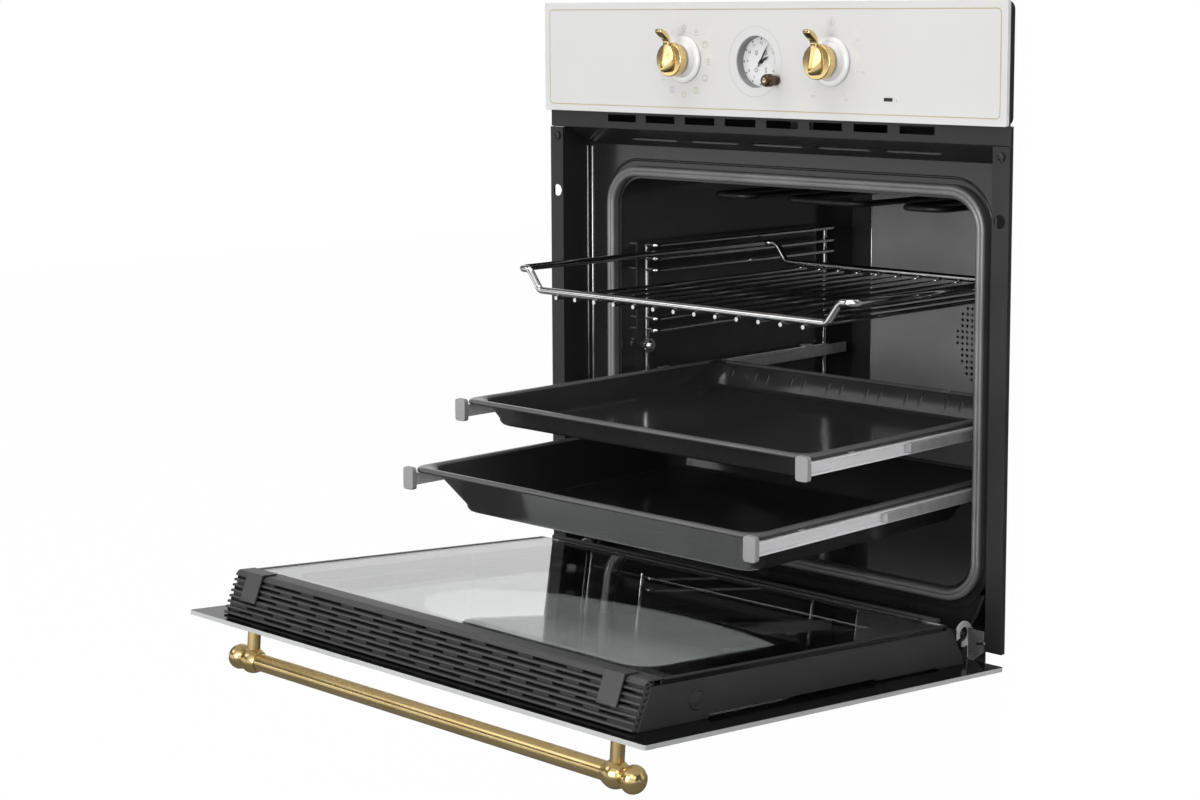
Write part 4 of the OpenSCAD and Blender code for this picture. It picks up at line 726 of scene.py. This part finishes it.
def makeTray(s):
    m, rings = trayMade, []
    for inset, z, radius in trayOutline(s):
        halfL = m["halfL"] - inset
        ring = roundedRing(m["halfW"] - inset, -halfL, halfL, radius, 9)
        rings.append([(x * mm, (s["middle"] + y) * mm, (s["high"] + z) * mm) for x, y in ring])
    tray = ringThrough(s["name"], rings)
    # the rim tops take the lighter enamel: a painted highlight
    wears(tray, "trayEnamel", "paintedRimSheen")
    for face in tray.data.polygons:
        spot = face.center / mm
        gap = min(m["halfW"] - abs(spot.x), m["halfL"] - abs(spot.y - s["middle"]))
        face.material_index = 1 if gap < m["rim"] - 0.5 and spot.z > s["high"] - 3 else 0
    parts = [tray]
    for k in range(s["ribs"]):  # ribs pressed into the far wall
        x = (k - (s["ribs"] - 1) / 2) * m["ribPitch"] + (m["ribShift"] if k % 2 else -m["ribShift"])
        place = (x, s["middle"] + m["halfL"] - m["ribIn"], s["high"] - m["ribLow"])
        bpy.ops.object.select_all(action="DESELECT")
        bpy.ops.mesh.primitive_uv_sphere_add(segments=12, ring_count=8, radius=mm, location=[c * mm for c in place],
                                             rotation=(radians(m["ribTurn"]), 0, 0))
        rib = added("rib")
        rib.scale = m["ribSize"]
        settle(rib)
        wears(rib, "trayEnamel")
        parts.append(rib)
    tray = joined(parts[::-1], s["name"])
    smooth(tray, 60)
    return tray


for s in (upperTray, lowerTray):
    piece = makeTray(s)
    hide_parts(s["node"])
    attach(piece, s["body"])
print("trays done")


def rod(name, start, end, radius, ink, flat=1.0):  # rounded bar between two places
    a, b = (Vector([c * mm for c in place]) for place in (start, end))
    bpy.ops.object.select_all(action="DESELECT")
    bpy.ops.mesh.primitive_cylinder_add(vertices=16, radius=radius * mm, depth=(b - a).length, location=(a + b) / 2)
    bar = added(name)
    bar.rotation_euler = (b - a).to_track_quat("Z", "X").to_euler()
    bar.scale = (1, flat, 1)
    settle(bar)
    rounded(bar, radius * 0.5)
    wears(bar, ink)
    smooth(bar, 60)
    return bar


# top profile of the door: rounded ribs, bridges between the air slots in a darker black as painted shade, a black wall
# behind as painted shade, and the cap that holds the inner glass
vent = {"halfW": 267.0, "ribs": 8, "pitch": 4.9, "first": 1.95, "top": 456.0, "lean": 0.336, "nose": 1.2, "deep": 7.0,
        "slotPitch": 58, "slot": 40, "slots": 4, "shifts": (-17, 12), "bridge": 3.4, "bridgeDeep": 5,
        "wall": [(0.4, -11), (0.4, -13), (37, -25), (39, -23.4)], "cap": [(38.9, 422.9), (40.2, 422.9), (40.2, 438.6),
                                                                          (39.9, 440.4), (39.0, 441.8), (37.6, 442.6),
                                                                          (36.4, 442.9),
                (36.2, 439.5), (38.9, 438.5)]}


def barAlong(name, section, x0, x1):  # section in depth and height of the door, drawn out along X
    bar = flatShape(name, inMetres([section]), (x1 - x0) * mm)
    bar.rotation_euler = (0, 0, pi / 2)
    bar.location = ((x0 + x1) / 2 * mm, 0, 0)
    return settle(bar)


def makeVent(s):
    parts, w, r = [], s["halfW"], s["nose"]
    for k in range(s["ribs"]):
        h = s["first"] + s["pitch"] * k
        a = s["top"] - s["lean"] * h - r
        nose = [(h - r * cos(t * pi / 8), a + r * sin(t * pi / 8)) for t in range(9)]
        section = [(h - r, a - s["deep"])] + nose + [(h + r, a - s["deep"])]
        rib = barAlong("rib", section, -w, w)
        rounded(rib, 1.0, 3)
        parts.append(rib)
        if k == s["ribs"] - 1:
            continue
        h0, h1 = h + r - 0.3, h + s["pitch"] - r + 0.3
        edges = [-w + 1]
        for i in range(-s["slots"], s["slots"] + 1):
            middle = i * s["slotPitch"] + s["shifts"][k % 2]
            edges += [middle - s["slot"] / 2, middle + s["slot"] / 2]
        edges.append(w - 1)
        for x0, x1 in zip(edges[::2], edges[1::2]):
            top = a + r - s["bridge"] - s["lean"] * s["pitch"] / 2
            low = top - s["bridgeDeep"]
            section = [(h0, top), (h0, low), (h1, low), (h1, top)]
            parts.append(barAlong("bridge", section, max(x0, -w + 1), min(x1, w - 1)))
    # black wall under the ribs: painted shade inside the vent
    wall = barAlong("wall", [(h, s["top"] + a) for h, a in s["wall"]], -w + 2, w - 2)
    wears(wall, "blackInkAndShade")
    parts.append(barAlong("cap", s["cap"], -w, w))
    for part in parts:
        # ribs and cap in the lighter clip black, bridges in a darker black: painted shade on the bridges
        wears(part, "blackPlasticAndShade" if part.name.startswith("bridge") else "clipBlack")
    whole = joined(parts + [wall], "doorVentProfile")
    smooth(whole, 50)
    return whole


clipLip = {"from": 224, "to": 246, "lip": (17.2, 451.8, 1.9), "groove": (20.6, 450.5, 1.5), "grooveIn": 0.2}


def makeClipLips(s):
    parts = []
    for x0, x1 in ((-s["to"], -s["from"]), (s["from"], s["to"])):
        # the groove rods are black: painted shade beside each clip lip
        for name, ink, cut in (("lip", "clipBlack", 0), ("groove", "blackInkAndShade", s["grooveIn"])):
            depth, height, radius = s[name]
            parts.append(rod(name, (x0 + cut, depth, height), (x1 - cut, depth, height), radius, ink))
    return joined(parts, "doorClipLips")


glassLip = {"low": 52, "high": 422, "from": 262.6, "to": 267.8, "top": 39.0, "thick": 0.6}


def makeGlassLips(s):  # dark lips of the side frames over the edges of the inner glass
    parts = []
    for side in (-1, 1):
        x0, x1 = sorted((side * s["from"], side * s["to"]))
        corners = [(x0, s["low"]), (x1, s["low"]), (x1, s["high"]), (x0, s["high"])]
        lip = flatShape("lip", inMetres([corners]), s["thick"] * mm)
        atDepth(lip, (s["top"] - s["thick"] / 2) * mm)
        rounded(lip, 0.2)
        wears(lip, "blackPlasticAndShade")
        parts.append(lip)
    return joined(parts, "doorGlassLips")


glassLips = makeGlassLips(glassLip)
swungOpen(glassLips)
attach(glassLips, "door")
ventProfile = makeVent(vent)
clipLips = makeClipLips(clipLip)
swungOpen(clipLips)
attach(clipLips, "door")
swungOpen(ventProfile)
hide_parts("door_vent_profile")
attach(ventProfile, "door")
print("vent profile done")


# carcass details: folds and beads of the recess, lips of the air slots, lip of the fan cover, drawn as pale and bright
# rods that are painted highlight lines
folds = {"wallX": 279.4, "frontY": -0.6, "plateY": 34.9, "low": 3.0, "high": 462.0, "beadHigh": 444.0, "lipZ": 453.4,
         "lipY": 22.6, "lips": 2, "lipPitch": 84.5, "lipHalf": 30, "cover": (-196.4, 418.4), "coverLow": 74,
         "coverHigh": 370}


def makeFolds(s):
    parts = []
    for side in (-1, 1):
        x = side * s["wallX"]
        # pale fold rods and bright bead, lip and cover rods: painted highlight lines
        parts.append(rod("fold", (x, s["frontY"], s["low"]), (x, s["frontY"], s["high"]), 0.9, "paintedRimSheen"))
        for inward, forward, radius in ((0.4, 3.4, 1.0), (4.4, 0, 1.3)):
            spot = (x - side * inward, s["plateY"] - forward)
            parts.append(rod("bead", (*spot, s["low"] + 3), (*spot, s["beadHigh"]), radius, "edgeShine"))
    for k in range(-s["lips"], s["lips"] + 1):
        ends = [(k * s["lipPitch"] + half, s["lipY"], s["lipZ"]) for half in (-s["lipHalf"], s["lipHalf"])]
        parts.append(rod("lip", *ends, 0.5, "edgeShine"))
    parts.append(rod("coverLip", (*s["cover"], s["coverLow"]), (*s["cover"], s["coverHigh"]), 1.0, "edgeShine"))
    return joined(parts, "recessFolds")


recessFolds = makeFolds(folds)
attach(recessFolds, "chassis")
print("recess folds done")


# hinge corners: textured tab with its near-white lip as painted highlight and a black slot as painted shade, a black
# skirt behind the hinge as painted shade, and the toe of the door's side frame
hinge = {"tabLow": 253.0, "tabHigh": 271.6, "tabY": 3.0, "low": -13.6, "high": 15.6, "thick": 1.0,
         "skirtLow": 205.0, "skirtDeep": -17.5, "shelfEnd": 243.0, "skirtEnd": 252.8, "skirtY": 13.2, "skirtThick": 1.5}
toe = {"section": [(0.3, 50.2), (33.9, 50.2), (33.9, 43.5), (24, 36.5), (3.5, 22), (0.3, 22)],
       "from": 257.5, "to": 268.0, "round": 0.5}


def makeHingeTab(s, side):
    x0, x1 = s["tabLow"], s["tabHigh"]
    outline = [(x0 + 0.8, s["high"]), (x0, s["high"] - 4), (x0, s["low"] + 1.5), (x0 + 1.5, s["low"]),
               (x0 + 6, s["low"]), (x1, -4.0), (x1, s["high"])]
    plate = flatShape("tab", inMetres([[(side * x, z) for x, z in outline]]), s["thick"] * mm)
    atDepth(plate, (s["tabY"] + 0.3) * mm)
    rounded(plate, 0.3)
    wears(plate, "castGrey")
    spot = (side * (x0 + 0.2), s["tabY"] + 0.4)
    # near-white rod along the tab's edge: painted highlight
    lip = rod("lip", (*spot, s["low"] + 2), (*spot, s["high"] - 4), 0.7, "paintedSteelSheen")
    y = s["tabY"] - 0.1
    # flattened black rod: painted shade in the tab's slot
    dark = rod("slot", (side * (x1 - 9), y, 2.6), (side * (x1 - 1), y, 4.4), 1.2, "blackInkAndShade", 0.3)
    skirts = []
    for end, z0, z1 in ((s["shelfEnd"], -8.3, 2), (s["skirtEnd"], s["skirtDeep"], -8.4)):
        corners = [(s["skirtLow"], z0), (end, z0), (end, z1), (s["skirtLow"], z1)]
        skirts.append(flatShape("skirt", inMetres([[(side * x, z) for x, z in corners]]), s["skirtThick"] * mm))
    for skirt in skirts:
        atDepth(skirt, s["skirtY"] * mm)
        # black skirts behind the hinge: painted shade
        wears(skirt, "housingBlackAndShade")
    return [plate, lip, dark] + skirts


tabs = joined(makeHingeTab(hinge, -1) + makeHingeTab(hinge, 1), "hingeTabs")
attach(tabs, "chassis")
toes = []
for x0, x1 in ((-toe["to"], -toe["from"]), (toe["from"], toe["to"])):
    part = barAlong("toe", toe["section"], x0, x1)
    rounded(part, toe["round"], angle=40)
    wears(part, "blackPlasticAndShade")
    toes.append(part)
frameToes = joined(toes, "doorFrameToes")
swungOpen(frameToes)
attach(frameToes, "door")
print("hinge corners done")


# floor, white board beside the body, lights and camera
sweep = {"white": 0.9, "mirrored": 0.66, "near": 1.7, "far": 3.2, "share": 0.988, "size": 12, "height": -0.32}


# near the object the floor and board show a dark colour in reflections only: painted shade in their reflections
def backdropWhite(name, s):  # white to the eye and through glass; what shines sees it darker, and white only far off
    made, nodes, links, shader = fresh(name)
    tree = made.node_tree
    shader.inputs["Roughness"].default_value = 0.9
    shader.inputs["Specular IOR Level"].default_value = 0.0
    rays = nodes.new("ShaderNodeLightPath").outputs
    tone = reckon(tree, "MULTIPLY_ADD", rays["Is Glossy Ray"], -s["mirrored"], s["white"])
    links.new(tone, shader.inputs["Base Color"])
    place = nodes.new("ShaderNodeTexCoord")
    gone = nodes.new("ShaderNodeVectorMath")
    gone.operation = "LENGTH"
    links.new(place.outputs["Object"], gone.inputs[0])
    seen = reckon(tree, "MAXIMUM", rays["Is Camera Ray"], rays["Is Transmission Ray"])
    far = fade(tree, gone.outputs["Value"], s["near"], s["far"])
    mirrored = reckon(tree, "MULTIPLY", rays["Is Glossy Ray"], far)
    glow = numbers(nodes, "ShaderNodeEmission", Strength=1.0)
    blend = nodes.new("ShaderNodeMixShader")
    share = reckon(tree, "MULTIPLY", reckon(tree, "MAXIMUM", seen, mirrored), s["share"])
    links.new(share, blend.inputs["Fac"])
    links.new(shader.outputs[0], blend.inputs[1])
    links.new(glow.outputs[0], blend.inputs[2])
    links.new(blend.outputs[0], nodes["Material Output"].inputs["Surface"])
    return made


stageWhite = backdropWhite("stageWhite", sweep)
bpy.ops.object.select_all(action="DESELECT")
bpy.ops.mesh.primitive_plane_add(size=sweep["size"], location=(0, 0, sweep["height"]))
floor = added("floor")
floor.data.materials.append(stageWhite)
boardMade = {"place": (0.4455, 0.018, 0.15), "wide": 0.329, "high": 0.90}
bpy.ops.mesh.primitive_plane_add(size=1, location=boardMade["place"], rotation=(pi / 2, 0, 0))
board = added("whiteBoard")  # hides the body's side, as in the photograph
board.scale = (boardMade["wide"], boardMade["high"], 1)
board.data.materials.append(stageWhite)
settle(floor)
settle(board)

# world: white to the eye and through glass; what shines sees a white backdrop behind the object and a dimmer room
room = {"backdropTurn": 100, "backdropWide": 62, "backdropHigh": 0.42, "backdropFade": 0.22,
        "frontTurn": -62, "frontWide": 42, "soft": 9, "dim": 0.12, "fill": 0.40}
world = bpy.data.worlds.new("studio")
bpy.context.scene.world = world
world.use_nodes = True
tree = world.node_tree
nodes, links = tree.nodes, tree.links


def towards(turn, wide):  # 1 within so many degrees of a compass direction
    nod = nodes.new("ShaderNodeVectorMath")
    nod.operation = "DOT_PRODUCT"
    nod.inputs[1].default_value = (cos(radians(turn)), sin(radians(turn)), 0)
    links.new(level.outputs["Vector"], nod.inputs[0])
    return fade(tree, nod.outputs["Value"], cos(radians(wide + room["soft"])), cos(radians(wide - room["soft"])))


ways = nodes.new("ShaderNodeTexCoord")
flat = nodes.new("ShaderNodeVectorMath")
flat.operation = "MULTIPLY"
flat.inputs[1].default_value = (1, 1, 0)
links.new(ways.outputs["Generated"], flat.inputs[0])
level = nodes.new("ShaderNodeVectorMath")
level.operation = "NORMALIZE"
links.new(flat.outputs["Vector"], level.inputs[0])
split = nodes.new("ShaderNodeSeparateXYZ")
links.new(ways.outputs["Generated"], split.inputs[0])
above = fade(tree, split.outputs["Z"], room["backdropHigh"], room["backdropHigh"] + room["backdropFade"])
low = reckon(tree, "SUBTRACT", 1.0, above)
backdrop = reckon(tree, "MULTIPLY", towards(room["backdropTurn"], room["backdropWide"]), low)
bright = reckon(tree, "MAXIMUM", backdrop, towards(room["frontTurn"], room["frontWide"]))
shine = reckon(tree, "MULTIPLY_ADD", bright, 1 - room["dim"], room["dim"])

rays = nodes.new("ShaderNodeLightPath").outputs
plain = nodes["Background"]
plain.inputs["Color"].default_value = (1, 1, 1, 1)
clear = reckon(tree, "MAXIMUM", rays["Is Camera Ray"], rays["Is Transmission Ray"])
others = reckon(tree, "SUBTRACT", 1.0, clear)
shiny = reckon(tree, "MULTIPLY", others, rays["Is Glossy Ray"])
soft = reckon(tree, "SUBTRACT", others, shiny)
lit = reckon(tree, "ADD", clear, reckon(tree, "MULTIPLY", shiny, shine))
strength = reckon(tree, "ADD", lit, reckon(tree, "MULTIPLY", soft, room["fill"]))
links.new(strength, plain.inputs["Strength"])

lamps = {
    "lampLeft": dict(place=(-1.6, -1.9, 1.7), size=1.4, power=8),
    "lampLow": dict(place=(-1.9, -2.1, 0.2), size=1.8, slim=0.3, power=2.6),
    "lampRight": dict(place=(1.9, -1.7, 1.5), size=1.4, power=9),
    "lampTop": dict(place=(0.0, -0.7, 2.4), size=1.8, power=17),
    "lampFront": dict(place=(0.2, -2.4, 0.58), size=0.9, power=20),
}
aim = Vector((0, -0.05, 0.28))
for name, s in lamps.items():
    bpy.ops.object.light_add(type="AREA", location=s["place"])
    lamp = added(name)
    lamp.data.shape = "RECTANGLE" if "slim" in s else "DISK"
    lamp.data.size = s["size"]
    lamp.data.size_y = s.get("slim", s["size"])
    lamp.data.energy = s["power"]
    lamp.rotation_euler = (aim - Vector(s["place"])).to_track_quat("-Z", "Y").to_euler()

view = {"place": (1.45222, -1.65236, 0.57007), "yaw": 41.7947, "pitch": 7.0343, "roll": 0.1668, "lens": 67.245,
        "shift": (-0.12, -0.08)}
bpy.ops.object.camera_add(location=view["place"])
camera = bpy.context.active_object
turn = (Matrix.Rotation(radians(view["yaw"]), 3, "Z") @ Matrix.Rotation(radians(90 - view["pitch"]), 3, "X")
        @ Matrix.Rotation(radians(view["roll"]), 3, "Z"))
camera.rotation_euler = turn.to_euler()
camera.data.lens = view["lens"]
camera.data.shift_x, camera.data.shift_y = view["shift"]
camera.data.clip_start = 0.05
bpy.context.scene.camera = camera
bpy.context.scene.view_settings.view_transform = "Standard"
print("floor, lights and camera done")
